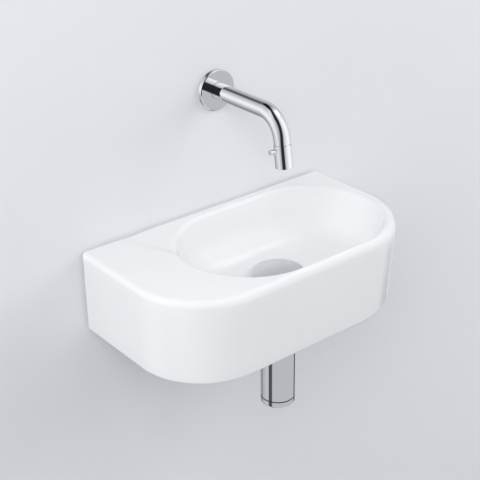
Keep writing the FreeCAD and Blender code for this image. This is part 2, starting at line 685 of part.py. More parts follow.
def tap_rosette():
    """Dished cover for the hole in the wall, with a collar behind it that holds a sealing ring."""
    front = -TAP_ROSETTE_DEPTH
    back = front + TAP_ROSETTE_WALL
    hole_r = SPOUT_R + SLIP_PLAY
    pocket_r = SPOUT_R + 2 * ROSETTE_RING_R
    collar_r = pocket_r + TAP_ROSETTE_WALL
    collar_end = back + 2 * ROSETTE_RING_R
    inner_r = TAP_ROSETTE_R - TAP_ROSETTE_WALL
    return lathe([
        (hole_r, front), (TAP_ROSETTE_R - TAP_ROSETTE_CHAMFER, front),
        (TAP_ROSETTE_R, front + TAP_ROSETTE_CHAMFER), (TAP_ROSETTE_R, 0), (inner_r, 0),
        (inner_r, back, SOFT_ROUND), (collar_r, back), (collar_r, collar_end),
        (pocket_r, collar_end), (pocket_r, back), (hole_r, back),
    ])


def tap_tail():
    """Threaded tail: a collar that the spout stops at and a grooved spigot inside the spout."""
    spigot_r = SPOUT_BORE_R - THREAD_PLAY
    spigot_end = SPOUT_START_Y - SPIGOT_LENGTH
    groove_r = SPOUT_BORE_R - 2 * TAIL_RING_R
    tail = lathe([
        (WATERWAY_R, TAIL_INTO_WALL), (TAIL_THREAD_R, TAIL_INTO_WALL), (TAIL_THREAD_R, 0),
        (TAIL_COLLAR_R, 0), (TAIL_COLLAR_R, SPOUT_START_Y), (spigot_r, SPOUT_START_Y),
        (spigot_r, spigot_end), (WATERWAY_R, spigot_end),
    ])
    return tail.cut(tube(groove_r, SPOUT_R, TAIL_RING_Y - TAIL_RING_R, TAIL_RING_Y + TAIL_RING_R))


def make_tap_inlet():
    """What joins the spout to the wall: tail, rosette, their rings and the grub screw."""
    on_axis = {
        "tap_tail": tap_tail(),
        "tap_tail_ring": ring(SPOUT_BORE_R - TAIL_RING_R, TAIL_RING_R, TAIL_RING_Y),
        "tap_rosette": tap_rosette(),
        "tap_rosette_ring": ring(
            SPOUT_R + ROSETTE_RING_R, ROSETTE_RING_R, TAP_ROSETTE_WALL + ROSETTE_RING_R - TAP_ROSETTE_DEPTH
        ),
    }
    pieces = {name: into_wall(piece, TAP_X, TAP_RISE) for name, piece in on_axis.items()}
    grub = rod(GRUB_R, RUNNING_PLAY - SPOUT_R, GRUB_BITE - SPOUT_BORE_R)
    pieces["tap_grub_screw"] = grub.translated(Vector(TAP_X, GRUB_Y, TAP_RISE))
    pieces["tap_tail"] = pieces["tap_tail"].cut(pieces["tap_grub_screw"])
    return pieces


def disc_ports(turn_deg, low, high):
    """Two opposite sector ports of a valve disc."""
    half = math.radians(PORT_DEG / 2)
    rim = [Vector(PORT_OUT_R * math.cos(a), PORT_OUT_R * math.sin(a), 0) for a in (-half, 0, half)]
    root = [Vector(PORT_IN_R * math.cos(a), PORT_IN_R * math.sin(a), 0) for a in (half, 0, -half)]
    wire = Part.Wire([
        Part.Arc(*rim).toShape(), Part.LineSegment(rim[2], root[0]).toShape(),
        Part.Arc(*root).toShape(), Part.LineSegment(root[2], rim[0]).toShape(),
    ])
    port = slab(wire, low, high)
    return [port.rotated(Vector(0, 0, 0), UP, turn_deg + side) for side in (0, 180)]


def valve_disc(turn_deg, s_low, s_high):
    """Ceramic valve disc with its two ports."""
    disc = rod(DISC_R, -s_high, -s_low)
    for port in disc_ports(turn_deg, -s_high - CUT_OVER, -s_low + CUT_OVER):
        disc = disc.cut(port)
    return disc


def valve_housing():
    """Brass housing in the spout's end: it carries the fixed disc and the sleeve turns on it."""
    disc_seat = -FIXED_DISC_S
    ring_r = HOUSING_R - 2 * NOSE_RING_R
    housing = lathe([
        (WATERWAY_R, HOUSING_PLUG_L), (HOUSING_PLUG_R, HOUSING_PLUG_L), (HOUSING_PLUG_R, 0),
        (HOUSING_R, 0), (HOUSING_R, -HOUSING_LENGTH), (DISC_R, -HOUSING_LENGTH),
        (DISC_R, disc_seat), (WATERWAY_R, disc_seat),
    ])
    clip_groove = tube(HOUSING_R - CLIP_DEPTH, NOSE_R, -CLIP_S - CLIP_T, -CLIP_S)
    ring_groove = tube(ring_r, NOSE_R, -NOSE_RING_S - NOSE_RING_R, -NOSE_RING_S + NOSE_RING_R)
    return housing.cut(clip_groove).cut(ring_groove)


def nose_sleeve():
    """Turning sleeve: bored for the housing, stepped for the disc and open for the aerator."""
    bore_r = HOUSING_R + RUNNING_PLAY
    disc_r = DISC_R + THREAD_PLAY
    tip = -NOSE_LENGTH
    sleeve = lathe([
        (bore_r, -SEAM_GAP), (NOSE_R, -SEAM_GAP, FINE_ROUND), (NOSE_R, tip, FINE_ROUND),
        (AERATOR_R, tip), (AERATOR_R, -AERATOR_S), (LEDGE_R, -AERATOR_S), (LEDGE_R, -LEDGE_S),
        (disc_r, -LEDGE_S), (disc_r, -TURNING_DISC_S), (bore_r, -TURNING_DISC_S),
    ])
    room_r = HOUSING_R + CLIP_DEPTH + SLIP_PLAY
    clip_room = tube(LEDGE_R, room_r, -CLIP_S - CLIP_T - SLIP_PLAY, SLIP_PLAY - CLIP_S)
    seat = rod(LEVER_R, NOSE_R - LEVER_SINK, NOSE_R + CUT_OVER)
    return sleeve.cut(clip_room).cut(lever_place(seat))


def lever_place(shape):
    """Turns a piece made about Z to point out of the nose's side, at the lever's closed position."""
    level = shape.rotated(Vector(0, 0, 0), Vector(0, 1, 0), -90)
    return level.rotated(Vector(0, 0, 0), UP, LEVER_DEG).translated(Vector(0, 0, -LEVER_S))


def aerator_plate():
    """Honeycomb plate of the aerator: hexagon cells in rings, with thin webs between them."""
    low = -NOSE_LENGTH + AERATOR_INSET + AERATOR_WALL
    plate = rod(AERATOR_R - THREAD_PLAY - AERATOR_WALL, low, low + AERATOR_PLATE_T)
    cell = slab(hexagon(AERATOR_CELL), low - CUT_OVER, low + CUT_OVER).rotated(Vector(0, 0, 0), UP, 30)
    along = Vector(AERATOR_CELL + AERATOR_WEB, 0, 0)
    across = Rotation(UP, 60).multVec(along)
    steps = range(-AERATOR_CELL_RINGS, AERATOR_CELL_RINGS + 1)
    cells = [
        cell.translated(along * i + across * j)
        for i in steps for j in steps if abs(i + j) <= AERATOR_CELL_RINGS
    ]
    return plate.cut(Part.makeCompound(cells))


def make_nose():
    """Everything on the leaning axis at the end of the spout."""
    seal_low = -AERATOR_S - AERATOR_SEAL_T
    low = -NOSE_LENGTH + AERATOR_INSET
    thread_r = AERATOR_R - THREAD_PLAY
    inner_r = thread_r - AERATOR_WALL
    lip_r = inner_r - AERATOR_WALL / 2
    lever = lathe([
        (0, NOSE_R - LEVER_SINK), (LEVER_R, NOSE_R - LEVER_SINK), (LEVER_R, LEVER_REACH, LEVER_END_R),
        (0, LEVER_REACH),
    ])
    clip = tube(HOUSING_R - CLIP_DEPTH, HOUSING_R + CLIP_DEPTH, -CLIP_S - CLIP_T, -CLIP_S)
    clip_gap = Part.makeBox(NOSE_R, 2 * CLIP_DEPTH, NOSE_LENGTH, Vector(0, -CLIP_DEPTH, -NOSE_LENGTH))
    pieces = {
        "valve_housing": valve_housing(),
        "fixed_disc": valve_disc(0, FIXED_DISC_S, HOUSING_LENGTH),
        "nose_clip": clip.cut(clip_gap),
        "nose_ring": ring(HOUSING_R - NOSE_RING_R, NOSE_RING_R, -NOSE_RING_S),
        "nose_sleeve": nose_sleeve(),
        "turning_disc": valve_disc(90, TURNING_DISC_S, LEDGE_S),
        "aerator_seal": tube(LEDGE_R, AERATOR_R - SLIP_PLAY, seal_low, -AERATOR_S),
        "aerator_ring": lathe([
            (lip_r, low), (thread_r, low, FINE_ROUND), (thread_r, seal_low), (inner_r, seal_low),
            (inner_r, low + AERATOR_WALL), (lip_r, low + AERATOR_WALL),
        ]),
        "aerator_plate": aerator_plate(),
        "lever_pin": lever_place(lever),
    }
    return {name: at_nose(piece) for name, piece in pieces.items()}


def all_pieces():
    """Every piece of the object by name."""
    pieces = {"spout": make_spout()}
    for make in (make_basin, make_fixings, make_waste, make_trap, make_tap_inlet, make_nose):
        pieces.update(make())
    return pieces


def main():
    """Writes one STEP file per piece."""
    os.makedirs("parts", exist_ok=True)
    for name, piece in all_pieces().items():
        placed = piece.translated(Vector(0, 0, BOLT_DROP))
        placed.exportStep(f"parts/{name}.step")
        size = placed.Volume / 1000
        print(f"{name}: {len(placed.Solids)} solid(s), {size:.2f} cm3, valid {placed.isValid()}")


if __name__ == "__main__":
    main()
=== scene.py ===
# %% [markdown]
# A wall-hung hand basin with its tap, dressed for its picture. The imported model already holds every
# piece at its true place and size, so this lesson adds what a drawing can't show: glaze, plating, cut
# threads and light. It begins by loading that model.

# %% Load the imported model
import json
import math

import bmesh
import bpy
import numpy as np
from mathutils import Matrix, Vector


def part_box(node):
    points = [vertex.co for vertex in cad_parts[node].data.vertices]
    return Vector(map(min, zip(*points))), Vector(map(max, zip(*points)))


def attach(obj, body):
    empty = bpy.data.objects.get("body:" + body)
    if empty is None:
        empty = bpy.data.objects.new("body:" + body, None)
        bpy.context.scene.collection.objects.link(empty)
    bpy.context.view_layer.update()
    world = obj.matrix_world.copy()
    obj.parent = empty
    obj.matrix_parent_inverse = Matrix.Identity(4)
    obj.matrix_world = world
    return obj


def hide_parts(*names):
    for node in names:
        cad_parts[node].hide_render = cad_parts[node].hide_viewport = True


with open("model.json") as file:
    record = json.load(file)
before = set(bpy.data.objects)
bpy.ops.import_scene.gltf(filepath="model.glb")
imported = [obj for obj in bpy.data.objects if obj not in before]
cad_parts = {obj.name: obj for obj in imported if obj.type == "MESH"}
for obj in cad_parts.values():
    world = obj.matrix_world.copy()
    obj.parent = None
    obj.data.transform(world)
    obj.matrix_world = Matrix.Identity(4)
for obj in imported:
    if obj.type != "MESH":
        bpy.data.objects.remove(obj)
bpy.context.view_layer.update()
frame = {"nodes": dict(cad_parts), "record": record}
nodes = frame["nodes"]

# %% [markdown]
# Sizes are easier to read in millimetres, and the basin's rim is the height that a fitter measures
# from. So lengths below are in millimetres from the rim, and one function turns a block of points into
# the model's metres. The origin of the model lies between the two wall bolts, well under the rim.

# %% Millimetres from the rim
MM = 0.001
RIM_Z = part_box("basin")[1][2] / MM


def to_model(points):
    """Millimetres measured from the rim, as metres in the model: lift by the rim's height, then scale."""
    return (np.asarray(points, float) + (0.0, 0.0, RIM_Z)) * MM


rim_in_model = to_model((0, 0, 0))
print("the rim lies", rim_in_model[2], "m above the bolts")

# %% [markdown]
# Every new surface here is a grid: rings of points, one ring after another. Two neighbours on one ring
# and the two beside them on the next make a face. Doubled points, as at a pole, are merged, and faces
# are turned outwards. Shading is smooth up to a chosen crease, so that a fine edge stays crisp.

# %% From a grid of points to a mesh
CREASE = math.radians(38)
MERGE_DISTANCE = 1e-6


def grid_faces(rings, around, closed):
    """Faces of a grid whose rings are closed; with closed, the last ring joins the first as well."""
    i = np.arange(rings if closed else rings - 1)[:, None]
    j = np.arange(around)[None, :]
    i_next, j_next = (i + 1) % rings, (j + 1) % around
    corners = [i * around + j, i * around + j_next, i_next * around + j_next, i_next * around + j]
    return np.stack(corners, -1).reshape(-1, 4)


def object_from_grid(name, grids, closed):
    """One object from a list of grids of points in millimetres: merge doubles, face outwards."""
    points, faces, start = [], [], 0
    for grid in grids:
        rings, around = grid.shape[:2]
        points.append(to_model(grid.reshape(-1, 3)))
        faces.append(grid_faces(rings, around, closed) + start)
        start += rings * around
    mesh = bpy.data.meshes.new(name)
    mesh.from_pydata(np.vstack(points), [], np.vstack(faces))
    work = bmesh.new()
    work.from_mesh(mesh)
    bmesh.ops.remove_doubles(work, verts=work.verts, dist=MERGE_DISTANCE)
    bmesh.ops.recalc_face_normals(work, faces=work.faces)
    work.to_mesh(mesh)
    work.free()
    made = bpy.data.objects.new(name, mesh)
    bpy.context.scene.collection.objects.link(made)
    return made


def show_piece(piece, body, slot, finish, *replaced):
    """Shades a new piece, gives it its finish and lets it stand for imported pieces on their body."""
    piece.data.shade_smooth()
    piece.data.set_sharp_from_angle(angle=CREASE)
    piece.data.materials.clear()
    piece.data.materials.append(finish)
    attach(piece, body)
    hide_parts(*replaced)
    print(piece.name, "has", len(piece.data.polygons), "faces and stands for", ", ".join(replaced))


print("edges sharper than", round(math.degrees(CREASE)), "degrees stay crisp")

# %% [markdown]
# Metal and glaze never look perfectly even. Thumb marks and dried water change the gloss a little, and
# a fired glaze has a slow ripple like the skin of an orange. Both effects are used by several finishes,
# so each is a node group: drawn once, then placed in a material with its own values.

# %% Node groups for marks and ripple
MARKS_FINER, MARKS_FROM, MARKS_TO = 6.0, 0.12, 0.42
GRAIN_FINER, CLOUD_SCALE = 9.0, 9.0


def add_group(name, inputs, outputs):
    """An empty shader group with named number sockets."""
    group = bpy.data.node_groups.new(name, "ShaderNodeTree")
    for socket, value in inputs:
        made = group.interface.new_socket(socket, in_out="INPUT", socket_type="NodeSocketFloat")
        made.default_value = value
    for socket in outputs:
        group.interface.new_socket(socket, in_out="OUTPUT", socket_type="NodeSocketFloat")
    return group, group.nodes.new("NodeGroupInput"), group.nodes.new("NodeGroupOutput")


def add_noise(tree, detail):
    """Noise that is fixed to the piece: object coordinates feed it."""
    place = tree.nodes.new("ShaderNodeTexCoord")
    noise = tree.nodes.new("ShaderNodeTexNoise")
    noise.inputs["Detail"].default_value = detail
    tree.links.new(place.outputs["Object"], noise.inputs["Vector"])
    return noise


def math_node(tree, operation, *values):
    """One sum or function of sockets and numbers."""
    node = tree.nodes.new("ShaderNodeMath")
    node.operation = operation
    for socket, value in zip(node.inputs, values):
        if isinstance(value, (int, float)):
            socket.default_value = value
        else:
            tree.links.new(value, socket)
    return node.outputs[0]


def marks_group():
    """Gloss marks: two sizes of noise multiplied, then spread between a clean and a dull roughness."""
    group, given, result = add_group(
        "handling_marks", [("Scale", 40.0), ("Clean", 0.05), ("Dull", 0.12)], ["Roughness"]
    )
    large, small = add_noise(group, detail=3.0), add_noise(group, detail=6.0)
    spread = group.nodes.new("ShaderNodeMapRange")
    spread.inputs["From Min"].default_value = MARKS_FROM
    spread.inputs["From Max"].default_value = MARKS_TO
    join = group.links.new
    join(given.outputs["Scale"], large.inputs["Scale"])
    join(math_node(group, "MULTIPLY", given.outputs["Scale"], MARKS_FINER), small.inputs["Scale"])
    join(math_node(group, "MULTIPLY", large.outputs["Fac"], small.outputs["Fac"]), spread.inputs["Value"])
    join(given.outputs["Clean"], spread.inputs["To Min"])
    join(given.outputs["Dull"], spread.inputs["To Max"])
    join(spread.outputs["Result"], result.inputs["Roughness"])
    return group


def ripple_group():
    """Surface ripple: a slow wave with a share of fine grain as a height, and a wide cloud for colour."""
    group, given, result = add_group(
        "surface_ripple", [("Scale", 60.0), ("Grain", 0.2)], ["Height", "Cloud"]
    )
    slow, fine, cloud = (add_noise(group, detail) for detail in (2.0, 2.0, 3.0))
    cloud.inputs["Scale"].default_value = CLOUD_SCALE
    join = group.links.new
    join(given.outputs["Scale"], slow.inputs["Scale"])
    join(math_node(group, "MULTIPLY", given.outputs["Scale"], GRAIN_FINER), fine.inputs["Scale"])
    share = given.outputs["Grain"]
    height = math_node(group, "MULTIPLY_ADD", fine.outputs["Fac"], share, slow.outputs["Fac"])
    join(height, result.inputs["Height"])
    join(cloud.outputs["Fac"], result.inputs["Cloud"])
    return group


MARKS, RIPPLE = marks_group(), ripple_group()
print("groups:", MARKS.name, "and", RIPPLE.name)

# %% [markdown]
# Each finish is one Principled shader. A short recipe gives its two colours, between which the cloudy
# noise moves, its range of gloss and its ripple. Metals take their colour from what they mirror, so
# their range of gloss matters most. Rubber and plastics are mostly grain. The plug is handled with every
# use, so its plating is a little duller than the rest.

# %% Finishes
def new_finish(name, dark, light, metallic, marks, ripple):
    """Principled finish: cloud mixes two colours, marks set the roughness, ripple bends the normal."""
    finish = bpy.data.materials.new(name)
    finish.use_nodes = True
    tree = finish.node_tree
    shader = tree.nodes["Principled BSDF"]
    shader.inputs["Metallic"].default_value = metallic
    gloss = tree.nodes.new("ShaderNodeGroup")
    gloss.node_tree = MARKS
    for socket, value in zip(("Scale", "Clean", "Dull"), marks):
        gloss.inputs[socket].default_value = value
    skin = tree.nodes.new("ShaderNodeGroup")
    skin.node_tree = RIPPLE
    scale, grain, strength, height = ripple
    skin.inputs["Scale"].default_value = scale
    skin.inputs["Grain"].default_value = grain
    bump = tree.nodes.new("ShaderNodeBump")
    bump.inputs["Strength"].default_value = strength
    bump.inputs["Distance"].default_value = height * MM
    colour = tree.nodes.new("ShaderNodeMix")
    colour.data_type = "RGBA"
    colour.inputs["A"].default_value = (*dark, 1.0)
    colour.inputs["B"].default_value = (*light, 1.0)
    join = tree.links.new
    join(skin.outputs["Cloud"], colour.inputs["Factor"])
    join(colour.outputs["Result"], shader.inputs["Base Color"])
    join(gloss.outputs["Roughness"], shader.inputs["Roughness"])
    join(skin.outputs["Height"], bump.inputs["Height"])
    join(bump.outputs["Normal"], shader.inputs["Normal"])
    return finish


# Marks give a scale, a clean and a dull roughness; ripple a scale, a grain, a strength and a height in mm.
FINISHES = {
    "glazed_ceramic": new_finish(
        "white_glaze", (0.873, 0.878, 0.888), (0.903, 0.908, 0.918), 0.0,
        marks=(30, 0.10, 0.16), ripple=(55, 0.15, 0.10, 0.5),
    ),
    "chrome": new_finish(
        "chrome_plating", (0.80, 0.81, 0.83), (0.88, 0.885, 0.90), 1.0,
        marks=(45, 0.03, 0.09), ripple=(70, 0.1, 0.02, 0.2),
    ),
    "brass": new_finish(
        "turned_brass", (0.64, 0.44, 0.17), (0.80, 0.60, 0.28), 1.0,
        marks=(60, 0.22, 0.38), ripple=(300, 0.5, 0.12, 0.2),
    ),
    "steel": new_finish(
        "zinc_plated_steel", (0.50, 0.51, 0.52), (0.66, 0.66, 0.64), 1.0,
        marks=(70, 0.25, 0.45), ripple=(260, 0.5, 0.15, 0.2),
    ),
    "rubber": new_finish(
        "black_rubber", (0.018, 0.018, 0.019), (0.034, 0.034, 0.036), 0.0,
        marks=(90, 0.6, 0.8), ripple=(500, 0.6, 0.25, 0.2),
    ),
    "nylon": new_finish(
        "moulded_nylon", (0.74, 0.73, 0.69), (0.82, 0.81, 0.78), 0.0,
        marks=(80, 0.42, 0.6), ripple=(420, 0.6, 0.18, 0.2),
    ),
    "acetal": new_finish(
        "grey_acetal", (0.56, 0.57, 0.58), (0.66, 0.67, 0.68), 0.0,
        marks=(80, 0.3, 0.42), ripple=(420, 0.4, 0.10, 0.2),
    ),
    "alumina": new_finish(
        "alumina_disc", (0.80, 0.78, 0.72), (0.88, 0.86, 0.81), 0.0,
        marks=(60, 0.3, 0.4), ripple=(380, 0.4, 0.08, 0.1),
    ),
}
PLUG_FINISH = new_finish(
    "plug_chrome", (0.75, 0.765, 0.785), (0.80, 0.81, 0.83), 1.0,
    marks=(45, 0.16, 0.24), ripple=(70, 0.1, 0.02, 0.2),
)
for subpart in frame["record"]["subparts"]:
    mesh = nodes[subpart["node"]].data
    finish = PLUG_FINISH if subpart["node"] == "plug_cap" else FINISHES[subpart["material_slot"]]
    mesh.materials.clear()
    mesh.materials.append(finish)
print("finishes:", ", ".join(sorted(m.name for m in FINISHES.values())), "and", PLUG_FINISH.name)

# %% [markdown]
# The basin is the heart of the object, so it gets a skin of its own. It is slip-cast: liquid clay sets
# against a plaster mould, is trimmed, glazed and fired. Glaze flows in the kiln, so no edge stays sharp,
# and the shelf sinks into its run-off without a line. A skin of rings can do that better than cuts and
# fillets. Seen from above, each point of the outline looks at the nearest point of a line down the
# middle of the bowl, and all rings lie on those rays. The outline stops a little short of the wall, so
# that a fine dark joint runs round the back.

# %% Basin seen from above
HALF_WIDTH, DEPTH, HEIGHT = 200.0, 220.0, 112.0
BACK_CORNER_R, LEFT_CORNER_R, RIGHT_CORNER_R = 2.0, 95.0, 118.0
CORE_LEFT, CORE_RIGHT, CORE_Y = -17.75, 86.75, -113.25
JOINT = 3.5
# Each corner has its centre, radius and first angle, then the points on its arc and on the side after it.
CORNERS = [
    ((HALF_WIDTH - BACK_CORNER_R, -JOINT - BACK_CORNER_R), BACK_CORNER_R, 0, 10, 96),
    ((BACK_CORNER_R - HALF_WIDTH, -JOINT - BACK_CORNER_R), BACK_CORNER_R, 90, 10, 34),
    ((LEFT_CORNER_R - HALF_WIDTH, LEFT_CORNER_R - DEPTH), LEFT_CORNER_R, 180, 76, 72),
    ((HALF_WIDTH - RIGHT_CORNER_R, RIGHT_CORNER_R - DEPTH), RIGHT_CORNER_R, 270, 84, 30),
]


def basin_outline():
    """Outline and its outward directions: each corner is a quarter circle, joined by straight sides."""
    arcs, turns = [], []
    for centre, radius, start, count, _ in CORNERS:
        turn = np.radians(np.linspace(start, start + 90, count))[:, None]
        turns.append(np.hstack([np.cos(turn), np.sin(turn)]))
        arcs.append(np.asarray(centre) + radius * turns[-1])
    points, ways = [], []
    for k, (_, _, _, _, between) in enumerate(CORNERS):
        share = np.linspace(0, 1, between + 2)[1:-1, None]
        side = arcs[k][-1] + share * (arcs[(k + 1) % len(arcs)][0] - arcs[k][-1])
        points += [arcs[k], side]
        ways += [turns[k], np.repeat(turns[k][-1:], between, 0)]
    return np.vstack(points), np.vstack(ways)


def from_core(points):
    """Nearest point of the bowl's middle line, the direction away from it and the distance."""
    core = np.column_stack([np.clip(points[:, 0], CORE_LEFT, CORE_RIGHT), np.full(len(points), CORE_Y)])
    away = points - core
    distance = np.linalg.norm(away, axis=1)
    return core, away / distance[:, None], distance


outline, outward = basin_outline()
core, ray, _ = from_core(outline)
print("the outline has", len(outline), "points")

# %% [markdown]
# The casting isn't quite upright. Its front right corner spreads a little at the rim and draws in at the
# foot, and its edges are rounded at the sides and the front but almost sharp where they meet the wall.
# Three small functions of the outline hold these rules, so that each ring below can ask for them.

# %% Rules for the edges
def flared(flare):
    """The outline with its front right corner let out: most at 45 degrees, nothing at the sides."""
    share = 2 * np.clip(outward[:, :1], 0, 1) * np.clip(-outward[:, 1:], 0, 1)
    return outline + flare * share * outward


def inset(points, side, back):
    """The outline moved inwards, by one width at the sides and front and by another at the joint."""
    x = np.clip(points[:, 0] - outward[:, 0] * side, side - HALF_WIDTH, HALF_WIDTH - side)
    y = points[:, 1] - outward[:, 1] * np.where(outward[:, 1] > 0, back, side)
    return np.column_stack([x, np.minimum(y, -JOINT - back)])


def side_drop(points, radius):
    """How far the rounding of the two sides lies below their flat top: a circle in x, up to the wall."""
    past = np.clip(np.abs(points[:, 0]) - (HALF_WIDTH - radius), 0, radius)
    return radius - np.sqrt(radius**2 - past**2)


print("the joint at the wall is", JOINT, "mm deep")

# %% [markdown]
# In section, the bowl is a floor that falls one degree to the drain, a wide curve, a steep wall and a
# rounded lip. The curve has to touch both the floor and the wall, so its centre is worked out: it is
# where these two lines meet once both have moved inwards by the curve's radius. The lip is tight at the
# front and softest at the back left, where the shelf runs off into the bowl.

# %% Section of the bowl
BOWL_R, BOWL_DEPTH, BOWL_CURVE = 95.75, 72.0, 50.0
DRAFT, FALL = math.radians(12), math.radians(1)
LIP_R, LIP_SWELL, RUN_OFF_WAY, RUN_OFF_SPREAD = 3.5, 5.5, 150.0, 62.0
LIP_REACH = 1 / math.tan((math.pi / 2 + DRAFT) / 2)


def curve_centre():
    """Distance and height of the curve's centre: the crossing of two moved lines, to 0.01 mm."""
    lines = [[math.cos(DRAFT), -math.sin(DRAFT)], [-math.sin(FALL), math.cos(FALL)]]
    moved = [BOWL_R * math.cos(DRAFT) - BOWL_CURVE, BOWL_CURVE - BOWL_DEPTH * math.cos(FALL)]
    return np.round(np.linalg.solve(lines, moved), 2)


def lip_round():
    """Radius of the bowl's lip round its edge: a bell curve about the direction of the run-off."""
    turn = np.degrees(np.arctan2(ray[:, 1], ray[:, 0])) % 360
    away = np.abs((turn - RUN_OFF_WAY + 180) % 360 - 180)
    return LIP_R + LIP_SWELL * np.exp(-(away / RUN_OFF_SPREAD) ** 2)


CURVE_R, CURVE_Z = curve_centre()
FLOOR_REACH = round(CURVE_R + BOWL_CURVE * math.sin(FALL), 2)
print("the wide curve turns about a line", CURVE_R, "mm out and", -CURVE_Z, "mm down")

# %% [markdown]
# The run-off is the faint valley in the shelf that leads splashes to the bowl. It starts wide and flat at
# the wall, and narrows and deepens on its way. It is worked out as a depth that any point of the top can
# ask for, so it bends the shelf, the lip and the top of the bowl's wall alike and leaves no line.

# %% Run-off in the shelf
VALLEY_START_X, VALLEY_END_X, VALLEY_END_Y = -127.0, -103.1, -69.8
VALLEY_HALF, VALLEY_NARROWS = 32.0, 12.0
VALLEY_DEPTH, VALLEY_DEEPENS = 0.9, 1.3
VALLEY_LAST, VALLEY_FADE = 1.5, 0.4
VALLEY_FOOT, VALLEY_RISE = 26.0, 20.0


def channel_dip(points):
    """Depth of the run-off: a cosine across its width, deeper and narrower from the wall to the bowl."""
    share = np.clip(points[:, 1] / VALLEY_END_Y, 0, VALLEY_LAST)
    middle = VALLEY_START_X + share * (VALLEY_END_X - VALLEY_START_X)
    half = VALLEY_HALF - VALLEY_NARROWS * share
    depth = VALLEY_DEPTH + VALLEY_DEEPENS * share
    across = np.clip(np.abs(points[:, 0] - middle) / half, 0, 1)
    high = np.clip((points[:, 2] + VALLEY_FOOT) / VALLEY_RISE, 0, 1)
    near = high * np.clip((VALLEY_LAST - share) / VALLEY_FADE, 0, 1)
    return -depth * np.cos(across * np.pi / 2) ** 2 * near * near * (3 - 2 * near)


print("the run-off sinks from", VALLEY_DEPTH, "to", VALLEY_DEPTH + VALLEY_DEEPENS, "mm at the bowl")

# %% [markdown]
# Now the rings of the top, from the drain outwards. Those of the bowl come first: over the floor, round
# the wide curve, up the wall and round the lip. A ring is worked out for all points of the outline at
# once, from a distance along the rays and a height.

# %% Rings of the bowl
DRAIN = np.array([28.5, CORE_Y])
DRAIN_EDGE_R = 32.8
FLOOR_RINGS, CURVE_RINGS, WALL_RINGS, LIP_RINGS = 8, 21, 7, 13


def ring(plan, height):
    """One ring from its points seen from above and their height, a number or one for each point."""
    return np.column_stack([plan, np.broadcast_to(height, len(plan))])


def steps(start, end, count):
    """Equal steps from one number to another; the first number is left out."""
    return np.linspace(start, end, count + 1)[1:]


def blends(first, last, count):
    """Rings between two rings, in equal steps; the first is left out."""
    return [first + share * (last - first) for share in steps(0, 1, count)]


def bowl_rings(reach):
    """From the drain's edge over the sloping floor, round the wide curve and up the wall to the lip."""
    start = core + FLOOR_REACH * ray
    to_drain = (start - DRAIN) / np.linalg.norm(start - DRAIN, axis=1)[:, None]
    drain_edge = DRAIN + DRAIN_EDGE_R * to_drain
    floor = [drain_edge] + blends(drain_edge, start, FLOOR_RINGS)
    rings = [ring(plan, -BOWL_DEPTH + math.tan(FALL) * from_core(plan)[2]) for plan in floor]
    for turn in steps(FALL - math.pi / 2, -DRAFT, CURVE_RINGS):
        plan = core + (CURVE_R + BOWL_CURVE * math.cos(turn)) * ray
        rings.append(ring(plan, CURVE_Z + BOWL_CURVE * math.sin(turn)))
    wall_top = ring(core + (BOWL_R - reach * math.sin(DRAFT))[:, None] * ray, -reach * math.cos(DRAFT))
    return rings + blends(rings[-1], wall_top, WALL_RINGS)


def lip_rings(lip, reach):
    """The lip: an arc from the drafted wall to the level deck, with its own radius at each point."""
    rings = []
    for turn in steps(math.pi - DRAFT, math.pi / 2, LIP_RINGS):
        plan = core + (BOWL_R + reach + lip * math.cos(turn))[:, None] * ray
        rings.append(ring(plan, lip * math.sin(turn) - lip))
    return rings


lip = lip_round()
bowl = bowl_rings(LIP_REACH * lip) + lip_rings(lip, LIP_REACH * lip)
print("the bowl has", len(bowl), "rings")

# %% [markdown]
# The deck is level and ends in a rounding to the skirt. Thick glaze sags before it sets, so the rounding
# runs further down along the front, and furthest at its right end. Then the run-off and the rounding of
# the two sides press all rings of the top down where they have to.

# %% Deck and rounding
TOP_ROUND, BACK_ROUND, FRONT_DROP, FLARE_TOP = 8.0, 1.0, 4.0, 3.7
DECK_RINGS, TOP_RINGS = 30, 10


def deck_rings(lip_end):
    """The level deck, then a quarter ellipse down to the skirt, which is deepest along the front."""
    edge = flared(FLARE_TOP)
    deck_end = inset(edge, TOP_ROUND, BACK_ROUND)
    to_wall, to_front = np.clip(outward[:, 1], 0, 1), np.clip(-outward[:, 1], 0, 1)
    drop = TOP_ROUND + (BACK_ROUND - TOP_ROUND) * to_wall + FRONT_DROP * (1 + outward[:, 0]) * to_front
    rings = blends(lip_end, ring(deck_end, 0), DECK_RINGS)
    for turn in steps(0, math.pi / 2, TOP_RINGS):
        rings.append(ring(deck_end + (edge - deck_end) * math.sin(turn), drop * (math.cos(turn) - 1)))
    return rings


upper = bowl + deck_rings(bowl[-1])
for one in upper:
    one[:, 2] = np.minimum(one[:, 2] + channel_dip(one), -side_drop(one, TOP_ROUND))
print("the top has", len(upper), "rings")

# %% [markdown]
# The outside goes on down the skirt, which draws in a little on its right, and turns under to the foot
# in a small quarter circle. The rounding of the two sides lifts these rings, as it pressed the top down.

# %% Skirt and foot
FOOT_ROUND, FLARE_FOOT = 4.0, -2.3
SKIRT_RINGS, FOOT_RINGS = 6, 8


